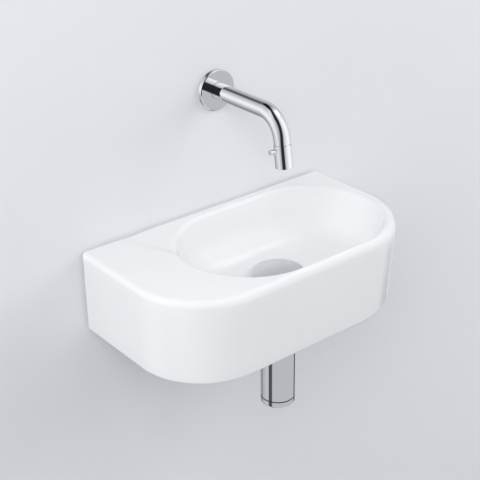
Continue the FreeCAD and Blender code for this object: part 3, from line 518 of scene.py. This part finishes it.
def skirt_rings(skirt_top):
    """Down the skirt, then a quarter circle under it to the foot."""
    edge = flared(FLARE_FOOT)
    foot = inset(edge, FOOT_ROUND, BACK_ROUND)
    low = FOOT_ROUND + (BACK_ROUND - FOOT_ROUND) * np.clip(outward[:, 1], 0, 1)
    rings = blends(skirt_top, ring(edge, low - HEIGHT), SKIRT_RINGS)
    for turn in steps(0, math.pi / 2, FOOT_RINGS):
        plan = edge + (foot - edge) * (1 - math.cos(turn))
        rings.append(ring(plan, low * (1 - math.sin(turn)) - HEIGHT))
    for one in rings:
        one[:, 2] = np.maximum(one[:, 2], side_drop(one, FOOT_ROUND) - HEIGHT)
    return rings


skirt = skirt_rings(upper[-1])
print("the skirt has", len(skirt), "rings")

# %% [markdown]
# The underside is hollow, because an even wall dries and fires without cracks. Its rings go up inside
# the skirt and in under the deck, then along the bowl's curve one wall thickness further out. Where the
# skirt is nearer than the curve, a ring stops at the skirt.

# %% Hollow underside
SKIRT_WALL, BACK_WALL, BOWL_WALL, UNDER_TOP = 11.0, 15.0, 11.0, -13.0
INNER_RINGS, ROOF_RINGS, UNDER_RINGS = 4, 5, 20


def hollow_rings():
    """Up the skirt's inner side, in under the deck, then along the outside of the bowl to its floor."""
    hollow = inset(outline, SKIRT_WALL, BACK_WALL - JOINT)
    middle, way, reach = from_core(hollow)
    turns = np.linspace(-DRAFT, FALL - math.pi / 2, UNDER_RINGS)
    curve_r = CURVE_R + (BOWL_CURVE + BOWL_WALL) * np.cos(turns)
    curve_z = CURVE_Z + (BOWL_CURVE + BOWL_WALL) * np.sin(turns)
    top_r = curve_r[0] + (UNDER_TOP - curve_z[0]) * math.tan(DRAFT)
    under_r, under_z = np.append(top_r, curve_r), np.append(UNDER_TOP, curve_z)

    def under(distance):
        """Height of the underside at a distance from the bowl's middle line."""
        return np.interp(distance, under_r[::-1], under_z[::-1])

    rings = [ring(hollow, -HEIGHT)]
    rings += blends(rings[-1], ring(hollow, under(reach)), INNER_RINGS)
    roof_end = ring(middle + np.minimum(top_r, reach)[:, None] * way, under(reach))
    rings += blends(rings[-1], roof_end, ROOF_RINGS)
    for distance in curve_r:
        held = np.minimum(distance, reach)
        rings.append(ring(middle + held[:, None] * way, under(held)))
    return rings


underside = hollow_rings()
print("the underside has", len(underside), "rings")

# %% [markdown]
# The rings end at the thick boss that carries the waste. It is a plain turned form about the drain, so
# a few pairs of radius and height are enough. The last ring then joins the first one at the drain's
# edge, and the skin is closed.

# %% Drain
BOSS_R, DRAIN_HOLE_R = 40.0, 22.95
BOSS_FOOT, SEAT_Z = -86.0, -76.5
BOSS_RINGS = 3


def drain_rings(under_end):
    """The boss about the drain: in to its side, down to its foot, then up the hole to the waste's seat."""
    to_drain = under_end[:, :2] - DRAIN
    to_drain /= np.linalg.norm(to_drain, axis=1)[:, None]
    rings = blends(under_end, ring(DRAIN + BOSS_R * to_drain, under_end[:, 2].min()), BOSS_RINGS)
    for radius, height in (
        (BOSS_R, BOSS_FOOT), (DRAIN_HOLE_R, BOSS_FOOT), (DRAIN_HOLE_R, SEAT_Z), (DRAIN_EDGE_R, SEAT_Z)
    ):
        rings.append(ring(DRAIN + radius * to_drain, height))
    return rings


skin = np.stack(upper + skirt + underside + drain_rings(underside[-1]))
print("the skin has", skin.shape[0], "rings of", skin.shape[1], "points")

# %% [markdown]
# The back meets the wall with a flat that lies a little inside the outline, and the joint runs round
# it. The two fixing holes are drilled through that back, as they are before the real clay is fired.
# Rods and a plate are grids as well, and a Boolean modifier joins or cuts them, which keeps the rings
# of the skin free of holes.

# %% Back and fixing holes
HOLE_X, HOLE_Z, HOLE_R = 140.0, -72.0, 7.4
ROD_FRONT, ROD_BACK, ROD_SIDES = -18.0, 3.0, 48
PLATE_EDGE, PLATE_DEPTH = 14.0, 8.0


def wall_rod(name, x, z):
    """A plain rod along Y: two poles and two circles."""
    turn = np.linspace(0, 2 * np.pi, ROD_SIDES, endpoint=False)
    radii = np.array([0.0, HOLE_R, HOLE_R, 0.0])[:, None]
    along = np.array([ROD_FRONT, ROD_FRONT, ROD_BACK, ROD_BACK])[:, None] + 0 * turn
    grid = np.stack([x + radii * np.cos(turn), along, z + radii * np.sin(turn)], -1)
    return object_from_grid(name, [grid], False)


def back_plate(name):
    """The flat that meets the wall: a rectangle a little inside the outline, between two poles."""
    corner_x = np.array([-1, 1, 1, -1]) * (HALF_WIDTH - PLATE_EDGE)
    corner_z = np.array([-1, -1, 1, 1]) * (HEIGHT / 2 - PLATE_EDGE)
    size = np.array([0.0, 1.0, 1.0, 0.0])[:, None]
    along = np.array([-PLATE_DEPTH, -PLATE_DEPTH, 0.0, 0.0])[:, None] + 0 * corner_x
    grid = np.stack([size * corner_x, along, size * corner_z - HEIGHT / 2], -1)
    return object_from_grid(name, [grid], False)


def join_and_drill(piece, plate, rods):
    """Adds a plate to a piece, takes rods out of it and keeps the result as the piece's own mesh."""
    for other, operation in [(plate, "UNION")] + [(rod, "DIFFERENCE") for rod in rods]:
        change = piece.modifiers.new(other.name, "BOOLEAN")
        change.operation = operation
        change.object = other
    seen = piece.evaluated_get(bpy.context.evaluated_depsgraph_get())
    shaped = bpy.data.meshes.new_from_object(seen)
    piece.modifiers.clear()
    piece.data = shaped
    for other in [plate] + rods:
        bpy.data.objects.remove(other)


basin = object_from_grid("basin_skin", [skin], True)
holes = [wall_rod(f"bolt_hole_{i}", x, HOLE_Z) for i, x in enumerate((-HOLE_X, HOLE_X))]
join_and_drill(basin, back_plate("basin_back"), holes)
print(basin.name, "is drilled", len(holes), "times")

# %% [markdown]
# The foot stands on the kiln shelf and the back lies against the wall, so both are wiped clean of glaze
# before the firing, and the bare, matt body shows there. The finish is a copy of the white glaze with
# one more step: a mask from the piece's own height and depth mixes in the clay's colour and dullness.

# %% Glaze and bare clay
BARE_CLAY, CLAY_ROUGHNESS = (0.78, 0.755, 0.71), 0.9
FOOT_GLAZED, FOOT_BARE = 1.6, 0.8
BACK_GLAZED, BACK_BARE = -1.2, -0.4


def mask_ramp(tree, value, start, end):
    """A mask that rises from 0 to 1 as a value goes from start to end, in millimetres of the model."""
    ramp = tree.nodes.new("ShaderNodeMapRange")
    ramp.inputs["From Min"].default_value = start * MM
    ramp.inputs["From Max"].default_value = end * MM
    tree.links.new(value, ramp.inputs["Value"])
    return ramp.outputs["Result"]


def mix_in(tree, socket, kind, value, mask):
    """Mixes a value into what already feeds a socket, by a mask."""
    mix = tree.nodes.new("ShaderNodeMix")
    mix.data_type = kind
    before, after = [s for s in mix.inputs if s.enabled and s.name in "AB"]
    after.default_value = value
    tree.links.new(socket.links[0].from_socket, before)
    tree.links.new(mask, mix.inputs["Factor"])
    tree.links.new([s for s in mix.outputs if s.enabled][0], socket)


def wiped_glaze():
    """The white glaze, with bare clay on the foot and on the back by a mask."""
    finish = FINISHES["glazed_ceramic"].copy()
    finish.name = "white_glaze_wiped"
    tree = finish.node_tree
    shader = tree.nodes["Principled BSDF"]
    place = tree.nodes.new("ShaderNodeTexCoord")
    split = tree.nodes.new("ShaderNodeSeparateXYZ")
    tree.links.new(place.outputs["Object"], split.inputs["Vector"])
    foot = RIM_Z - HEIGHT
    low = mask_ramp(tree, split.outputs["Z"], foot + FOOT_GLAZED, foot + FOOT_BARE)
    behind = mask_ramp(tree, split.outputs["Y"], BACK_GLAZED, BACK_BARE)
    wiped = math_node(tree, "MAXIMUM", low, behind)
    mix_in(tree, shader.inputs["Base Color"], "RGBA", (*BARE_CLAY, 1.0), wiped)
    mix_in(tree, shader.inputs["Roughness"], "FLOAT", CLAY_ROUGHNESS, wiped)
    return finish


show_piece(basin, "fixed", "glazed_ceramic", wiped_glaze(), "basin")

# %% [markdown]
# Threads are hidden once the basin hangs, yet a fitter looks at them first. A die cuts one ridge that
# climbs a pitch with every turn, so the radius of a point depends on its place along the rod and on its
# angle. That is a formula again: a profile is turned about the rod's line, and the groove is taken off
# its radius.

# %% Cutting a thread
GROOVE_TOP, GROOVE_SLOPE = 1.25, 2.6


def thread_depth(along, turn, start, end, pitch, depth):
    """How far a point lies under the crest: a clipped triangle wave that fades out at both ends."""
    share = (along / pitch - turn / (2 * np.pi)) % 1.0
    groove = np.clip(GROOVE_TOP - GROOVE_SLOPE * np.abs(share - 0.5), 0, 1)
    fade = np.clip((along - start) / pitch, 0, 1) * np.clip((end - along) / pitch, 0, 1)
    return depth * groove * fade


def turned_along_wall(profile, x, z, around, threads):
    """A profile of (radius, place along Y) turned about Y, with threads cut where its radius allows."""
    radius, along = np.asarray(profile, float).T[:, :, None]
    turn = np.linspace(0, 2 * np.pi, around, endpoint=False)[None, :]
    cut = sum(
        thread_depth(along, turn, start, end, pitch, depth) * (radius > least)
        for start, end, pitch, depth, least in threads
    )
    r = radius - cut * np.minimum(1, radius / radius.max())
    return np.stack([x + r * np.cos(turn), along + 0 * turn, z + r * np.sin(turn)], -1)


def run(radius_from, radius_to, start, end, step):
    """Points of a profile along one straight stretch, in steps fine enough for a thread."""
    count = max(2, int(abs(end - start) / step) + 1)
    return list(zip(np.linspace(radius_from, radius_to, count), np.linspace(start, end, count)))


print("a groove takes up", round(2 * GROOVE_TOP / GROOVE_SLOPE, 2), "of each pitch")

# %% [markdown]
# The hanger bolt has two threads: a fine one for the nut, and a coarse one with a point that bites into
# the wall plug. Both bolts are the same, so one profile is turned twice and makes one piece.

# %% Wall bolts
BOLT_R, SHANK_R, POINT_R, BOLT_CHAMFER = 5.0, 4.8, 0.02, 1.0
BOLT_FRONT, BOLT_TAPER, BOLT_END = -33.0, 61.0, 70.0
FINE_STEP, COARSE_STEP, BOLT_SIDES = 0.2, 0.5, 40
# Each thread has its start, end, pitch and depth, and the radius below which it isn't cut.
NUT_THREAD, PLUG_THREAD = (-32.5, 1.0, 1.5, 0.9, 4.9), (9.0, 72.0, 4.2, 1.3, 0.0)

bolt_profile = [(0, BOLT_FRONT), (BOLT_R - BOLT_CHAMFER, BOLT_FRONT)]
bolt_profile += run(BOLT_R, BOLT_R, BOLT_FRONT + BOLT_CHAMFER, 0, FINE_STEP)
bolt_profile += run(SHANK_R, SHANK_R, 0, BOLT_TAPER, COARSE_STEP)
bolt_profile += run(SHANK_R, POINT_R, BOLT_TAPER, BOLT_END, COARSE_STEP)
bolt_grids = [
    turned_along_wall(bolt_profile, x, HOLE_Z, BOLT_SIDES, [NUT_THREAD, PLUG_THREAD])
    for x in (-HOLE_X, HOLE_X)
]
bolts = object_from_grid("threaded_bolts", bolt_grids, False)
show_piece(bolts, "fixed", "steel", FINISHES["steel"], "hanger_bolts")

# %% [markdown]
# The tap's tail is a short brass pipe. One end has a half-inch thread for the water outlet in the wall.
# The other is a spigot with a groove for a sealing ring, which slides into the spout. Its profile goes
# round the section and back through the bore, so the last ring joins the first.

# %% Tail of the tap
TAP_X, TAP_Z = 18.0, 162.5
BORE_R, TIP_R, TAIL_R, COLLAR_R, SPIGOT_R, GROOVE_R = 5.0, 9.6, 10.4775, 13.5, 7.45, 6.1
TAIL_END, THREAD_FROM, THREAD_TO = 22.0, 21.1, 0.4
COLLAR_Y, GROOVE_BACK, GROOVE_FRONT, SPIGOT_END = -1.5, -9.3, -10.7, -13.5
TAIL_STEP, TAIL_SIDES = 0.22, 72
PIPE_THREAD = (0.6, 24.0, 1.814, 1.1, 10.0)

tail_profile = [(BORE_R, TAIL_END), (TIP_R, TAIL_END)]
tail_profile += run(TAIL_R, TAIL_R, THREAD_FROM, THREAD_TO, TAIL_STEP)
tail_profile += [(TAIL_R, 0), (COLLAR_R, 0), (COLLAR_R, COLLAR_Y), (SPIGOT_R, COLLAR_Y)]
tail_profile += [(SPIGOT_R, GROOVE_BACK), (GROOVE_R, GROOVE_BACK), (GROOVE_R, GROOVE_FRONT)]
tail_profile += [(SPIGOT_R, GROOVE_FRONT), (SPIGOT_R, SPIGOT_END), (BORE_R, SPIGOT_END)]
tail_grid = turned_along_wall(tail_profile, TAP_X, TAP_Z, TAIL_SIDES, [PIPE_THREAD])
tail = object_from_grid("threaded_tail", [tail_grid], True)
show_piece(tail, "fixed", "brass", FINISHES["brass"], "tap_tail")

# %% [markdown]
# The stage is a plain pale wall that carries the basin, and a plain pale floor below it. The wall is
# seen from the room only: from behind it is clear, so that the fixings can be looked at. It lies a hair
# in front of the basin's back, which keeps the light of the room out from behind it. Reflections see
# neither of the two, because the room below is drawn for them.

# %% Wall and floor
WALL_COLOUR, WALL_GLOW = (0.83, 0.835, 0.86), 0.0
FLOOR_COLOUR, FLOOR_GLOW = (0.60, 0.605, 0.62), 0.12
PAINT_ROUGHNESS = 0.7
WALL_Y, WALL_HALF, WALL_TOP = -0.3, 3000.0, 1800.0
FLOOR_Z, FLOOR_HALF, FLOOR_FRONT = -905.0, 5000.0, -6000.0


def stage_plane(name, corners):
    """A flat backdrop from four corners in millimetres, its face to the room; no reflection shows it."""
    mesh = bpy.data.meshes.new(name)
    mesh.from_pydata(to_model(corners), [], [(0, 1, 2, 3)])
    plane = bpy.data.objects.new(name, mesh)
    plane.visible_glossy = False
    bpy.context.scene.collection.objects.link(plane)
    return plane


def backdrop_finish(name, colour, glow, one_sided):
    """Matt paint; the camera sees it paler by a glow, and with one_sided it is clear from behind."""
    paint = bpy.data.materials.new(name)
    paint.use_nodes = True
    tree = paint.node_tree
    shader = tree.nodes["Principled BSDF"]
    shader.inputs["Base Color"].default_value = (*colour, 1.0)
    shader.inputs["Roughness"].default_value = PAINT_ROUGHNESS
    shader.inputs["Emission Color"].default_value = (glow, glow, glow, 1.0)
    rays = tree.nodes.new("ShaderNodeLightPath")
    tree.links.new(rays.outputs["Is Camera Ray"], shader.inputs["Emission Strength"])
    if one_sided:
        side = tree.nodes.new("ShaderNodeNewGeometry")
        clear = tree.nodes.new("ShaderNodeBsdfTransparent")
        choose = tree.nodes.new("ShaderNodeMixShader")
        tree.links.new(side.outputs["Backfacing"], choose.inputs["Fac"])
        tree.links.new(shader.outputs["BSDF"], choose.inputs[1])
        tree.links.new(clear.outputs["BSDF"], choose.inputs[2])
        tree.links.new(choose.outputs["Shader"], tree.nodes["Material Output"].inputs["Surface"])
    return paint


wall = stage_plane("wall", [
    (-WALL_HALF, WALL_Y, FLOOR_Z), (WALL_HALF, WALL_Y, FLOOR_Z),
    (WALL_HALF, WALL_Y, WALL_TOP), (-WALL_HALF, WALL_Y, WALL_TOP),
])
wall.data.materials.append(backdrop_finish("wall_paint", WALL_COLOUR, WALL_GLOW, True))
floor = stage_plane("floor", [
    (-FLOOR_HALF, FLOOR_FRONT, FLOOR_Z), (FLOOR_HALF, FLOOR_FRONT, FLOOR_Z),
    (FLOOR_HALF, WALL_Y, FLOOR_Z), (-FLOOR_HALF, WALL_Y, FLOOR_Z),
])
floor.data.materials.append(backdrop_finish("floor_paint", FLOOR_COLOUR, FLOOR_GLOW, False))
print("the floor lies", FLOOR_Z * MM, "m from the rim")

# %% [markdown]
# Chrome has almost no colour of its own: it shows the room. In a studio, white and black cloths hang
# round it, so that broad bright stripes and thin dark lines draw its form. Here the room that
# reflections see is a formula of direction, built from a few nodes. A curve gives a brightness for
# each angle, a step fades softly between two values, and a window picks out one compass direction.

# %% Nodes for a formula of direction
def turn_of(tree, up, along):
    """Angle of a direction in a plane, as a share of a full turn from 0 to 1."""
    angle = math_node(tree, "ARCTAN2", up, along)
    return math_node(tree, "FRACT", math_node(tree, "MULTIPLY_ADD", angle, 1 / (2 * math.pi), 1.0))


def curve_of(tree, turn, stops, low, high):
    """A smooth curve through (degrees, value) stops, with values between low and high."""
    ramp = tree.nodes.new("ShaderNodeValToRGB")
    ramp.color_ramp.interpolation = "EASE"
    marks = ramp.color_ramp.elements
    while len(marks) < len(stops):
        marks.new(0.5)
    for mark, (degrees, value) in zip(marks, stops):
        mark.position = degrees / 360
        share = (value - low) / (high - low)
        mark.color = (share, share, share, 1.0)
    tree.links.new(turn, ramp.inputs["Fac"])
    return math_node(tree, "MULTIPLY_ADD", ramp.outputs["Color"], high - low, low)


def step_of(tree, value, start, end):
    """A soft step from 0 at start to 1 at end."""
    step = tree.nodes.new("ShaderNodeMapRange")
    step.interpolation_type = "SMOOTHSTEP"
    step.inputs["From Min"].default_value = start
    step.inputs["From Max"].default_value = end
    tree.links.new(value, step.inputs["Value"])
    return step.outputs["Result"]


def near_turn(tree, compass, degrees, inner, outer):
    """1 near one compass direction, falling softly to 0 between two angles from it."""
    away = math_node(tree, "ABSOLUTE", math_node(tree, "SUBTRACT", compass, degrees / 360))
    return math_node(tree, "SUBTRACT", 1.0, step_of(tree, away, inner / 360, outer / 360))


def blend_of(tree, first, second, share):
    """One value that changes into a second as a share goes from 0 to 1."""
    return math_node(tree, "MULTIPLY_ADD", math_node(tree, "SUBTRACT", second, first), share, first)


bpy.context.scene.world = bpy.data.worlds.new("pale_room")
print("world:", bpy.context.scene.world.name)

# %% [markdown]
# Behind the object the brightness follows the turn about Y, and in front it follows the compass. Low
# down, the front turns to an even grey with a dark line on the left and one on the right, which become
# the stripes of the trap.

# %% Walls of the room
BRIGHTEST = 1.2
# Each stop has an angle in degrees and the brightness there.
BACK_STOPS = [
    (0, 0.60), (33, 0.62), (93, 0.08), (121, 0.64), (175, 1.08), (232, 0.55), (249, 0.30), (263, 0.31),
    (330, 0.75), (360, 0.60),
]
FRONT_STOPS = [
    (0, 0.50), (55, 0.71), (75, 0.74), (138, 1.16), (218, 0.50), (236, 0.48), (292, 1.0), (360, 0.50),
]
# A pair is the start and end of a step; three numbers are a direction and the angles where it fades.
TO_BACK = (0.05, 0.35)
LOW_GREY, DEEP = 0.59, (0.42, 0.52)
AHEAD, AHEAD_WAY = (0.24, 0.31), (140, 25, 40)
LEFT_LINE, RIGHT_LINE, LINE_SHADE = (271, 10, 15), (77, 10, 16), 0.84


def walls_of_room(tree, x, y, z):
    """A back and a front curve mixed by Y, with the grey and the two dark lines low in front."""
    compass = turn_of(tree, x, y)
    down = math_node(tree, "MULTIPLY", z, -1.0)
    deep = step_of(tree, down, *DEEP)
    ahead = math_node(tree, "MULTIPLY", step_of(tree, down, *AHEAD), near_turn(tree, compass, *AHEAD_WAY))
    low = math_node(tree, "MAXIMUM", deep, ahead)
    front = blend_of(tree, curve_of(tree, compass, FRONT_STOPS, 0.0, BRIGHTEST), LOW_GREY, low)
    back = curve_of(tree, turn_of(tree, z, x), BACK_STOPS, 0.0, BRIGHTEST)
    both = blend_of(tree, front, back, step_of(tree, y, *TO_BACK))
    left, right = near_turn(tree, compass, *LEFT_LINE), near_turn(tree, compass, *RIGHT_LINE)
    lines = math_node(tree, "MULTIPLY", math_node(tree, "ADD", left, right), deep)
    return math_node(tree, "MULTIPLY", both, math_node(tree, "MULTIPLY_ADD", lines, -LINE_SHADE, 1.0))


print("the front is brightest at", max(FRONT_STOPS, key=lambda stop: stop[1])[0], "degrees")

# %% [markdown]
# The walls alone would leave the spout flat. One dark band arches from behind, over the tap, down to the
# left, and a small lamp shines from the upper right. The band's middle and half width are curves as well,
# and where the half width is negative there is no band.

# %% Dark arch and lamp
ARCH_REACH, ARCH_WIDEST = 1.0, 0.5
# Each stop has an angle in degrees, from the wall up and over, and a sideways share of the direction.
ARCH_MIDDLE = [
    (0, 0.10), (44, 0.05), (60, 0.05), (75, -0.06), (111, -0.43), (205, -0.63), (222, -0.70), (360, -0.70),
]
ARCH_HALF = [
    (0, -0.2), (44, -0.2), (58, 0.20), (75, 0.26), (90, 0.27), (120, 0.27), (210, 0.22), (222, -0.2),
    (360, -0.2),
]
ARCH_EDGE, ARCH_LEAST = (-0.06, 0.08), 0.05
LAMP_WAY, LAMP_EDGE, LAMP_POWER = (0.56, -0.10, 0.82), (0.978, 0.996), 1.9


def arch_of_room(tree, x, y, z):
    """The dark band: the distance from its middle in x, less half its width, as a soft step."""
    over = turn_of(tree, z, y)
    middle = curve_of(tree, over, ARCH_MIDDLE, -ARCH_REACH, ARCH_REACH)
    half = curve_of(tree, over, ARCH_HALF, -ARCH_WIDEST, ARCH_WIDEST)
    aside = math_node(tree, "ABSOLUTE", math_node(tree, "SUBTRACT", x, middle))
    outside = step_of(tree, math_node(tree, "SUBTRACT", aside, half), *ARCH_EDGE)
    return math_node(tree, "MULTIPLY_ADD", outside, 1.0 - ARCH_LEAST, ARCH_LEAST)


def reflected_room(tree):
    """Brightness by direction: the walls of the room, dark inside the arch, and a small lamp added."""
    place = tree.nodes.new("ShaderNodeTexCoord")
    split = tree.nodes.new("ShaderNodeSeparateXYZ")
    tree.links.new(place.outputs["Generated"], split.inputs["Vector"])
    walls, arch = walls_of_room(tree, *split.outputs), arch_of_room(tree, *split.outputs)
    room = math_node(tree, "MULTIPLY", walls, arch)
    to_lamp = tree.nodes.new("ShaderNodeVectorMath")
    to_lamp.operation = "DOT_PRODUCT"
    to_lamp.inputs[1].default_value = LAMP_WAY
    tree.links.new(place.outputs["Generated"], to_lamp.inputs[0])
    lamp = step_of(tree, to_lamp.outputs["Value"], *LAMP_EDGE)
    return math_node(tree, "MULTIPLY_ADD", lamp, LAMP_POWER, room)


print("the lamp stands", round(math.degrees(math.asin(LAMP_WAY[2]))), "degrees above the level")

# %% [markdown]
# A world can answer each kind of ray in its own way. Reflections see the room, matt surfaces are lit by
# an even sky, and the camera sees a paler sky behind the stage.

# %% World
MIRROR_TINT = (0.945, 0.957, 1.0)
SKY_TINT, SKY_LIGHT, SKY_BACKDROP = (0.945, 0.96, 1.0), 0.35, 0.75


def fill_world(world):
    """An even light, a paler even backdrop for the camera and the formula for reflections."""
    world.use_nodes = True
    tree = world.node_tree
    sky = tree.nodes["Background"]
    sky.inputs["Color"].default_value = (*SKY_TINT, 1.0)
    rays = tree.nodes.new("ShaderNodeLightPath")
    seen = blend_of(tree, SKY_LIGHT, SKY_BACKDROP, rays.outputs["Is Camera Ray"])
    tree.links.new(seen, sky.inputs["Strength"])
    mirrored = tree.nodes.new("ShaderNodeBackground")
    mirrored.inputs["Color"].default_value = (*MIRROR_TINT, 1.0)
    tree.links.new(reflected_room(tree), mirrored.inputs["Strength"])
    choose = tree.nodes.new("ShaderNodeMixShader")
    tree.links.new(rays.outputs["Is Glossy Ray"], choose.inputs["Fac"])
    tree.links.new(sky.outputs["Background"], choose.inputs[1])
    tree.links.new(mirrored.outputs["Background"], choose.inputs[2])
    tree.links.new(choose.outputs["Shader"], tree.nodes["World Output"].inputs["Surface"])


fill_world(bpy.context.scene.world)
print("the room is drawn with", len(bpy.context.scene.world.node_tree.nodes), "nodes")

# %% [markdown]
# The light is soft and even: a faint sky all round and broad white panels, as a studio has them. A large
# panel far to the left and a nearer one light the deck and let it fade to the right, two on the right
# fill the skirt, and a weak one hangs above. One more stands behind the wall and lights only the
# fixings there, because the wall keeps it from the room. Reflections don't see the panels.

# %% Light
PANEL_AIM = (0, -60, 0)
# Each panel has its place in millimetres, its side in metres and its power in watts.
PANELS = {
    "left_panel": ((-4400, -500, 1000), 3.2, 62.0),
    "near_panel": ((-1200, -1200, 1200), 1.1, 17.5),
    "top_panel": ((-300, -400, 2000), 1.2, 2.0),
    "right_panel": ((1700, -1300, 1100), 1.4, 14.5),
    "side_panel": ((2900, -900, 250), 1.8, 26.0),
    "back_panel": ((700, 2000, 900), 1.6, 24.0),
}


def soft_panel(name, place, size, power):
    """A square area light that looks from its place to the common aim."""
    lamp = bpy.data.lights.new(name, "AREA")
    lamp.shape = "SQUARE"
    lamp.size = size
    lamp.energy = power
    panel = bpy.data.objects.new(name, lamp)
    start, end = Vector(to_model(place)), Vector(to_model(PANEL_AIM))
    panel.location = start
    panel.rotation_euler = (end - start).to_track_quat("-Z", "Y").to_euler()
    panel.visible_glossy = False
    bpy.context.scene.collection.objects.link(panel)


for panel, (place, size, power) in PANELS.items():
    soft_panel(panel, place, size, power)
bpy.context.scene.view_settings.view_transform = "Standard"

# %% [markdown]
# The camera stands where the photo was taken from. Its place, turn and lens come from the corners of
# the basin in the picture, matched against their true places.

# %% Camera
CAMERA_PLACE = (-830.02, -1097.72, 647.82)
CAMERA_TURN, CAMERA_RISE, CAMERA_ROLL = math.radians(-38.911), math.radians(26.909), math.radians(-0.75)
CAMERA_LENS, SENSOR_WIDTH = 84.69, 36.0


def camera_axes(turn, rise, roll):
    """Right, up and back of a camera: turned about Z, raised, then rolled about its own line of sight."""
    back = Vector((math.sin(turn) * math.cos(rise), -math.cos(turn) * math.cos(rise), math.sin(rise)))
    right = Vector((math.cos(turn), math.sin(turn), 0.0))
    up = back.cross(right)
    rolled_right = right * math.cos(roll) + up * math.sin(roll)
    rolled_up = up * math.cos(roll) - right * math.sin(roll)
    return rolled_right, rolled_up, back


camera = bpy.data.objects.new("camera", bpy.data.cameras.new("camera"))
camera.data.sensor_width = SENSOR_WIDTH
camera.data.lens = CAMERA_LENS
bpy.context.scene.collection.objects.link(camera)
turned = Matrix(camera_axes(CAMERA_TURN, CAMERA_RISE, CAMERA_ROLL)).transposed().to_4x4()
camera.matrix_world = Matrix.Translation(Vector(to_model(CAMERA_PLACE))) @ turned
bpy.context.scene.camera = camera
print("camera at", [round(c, 3) for c in camera.location])
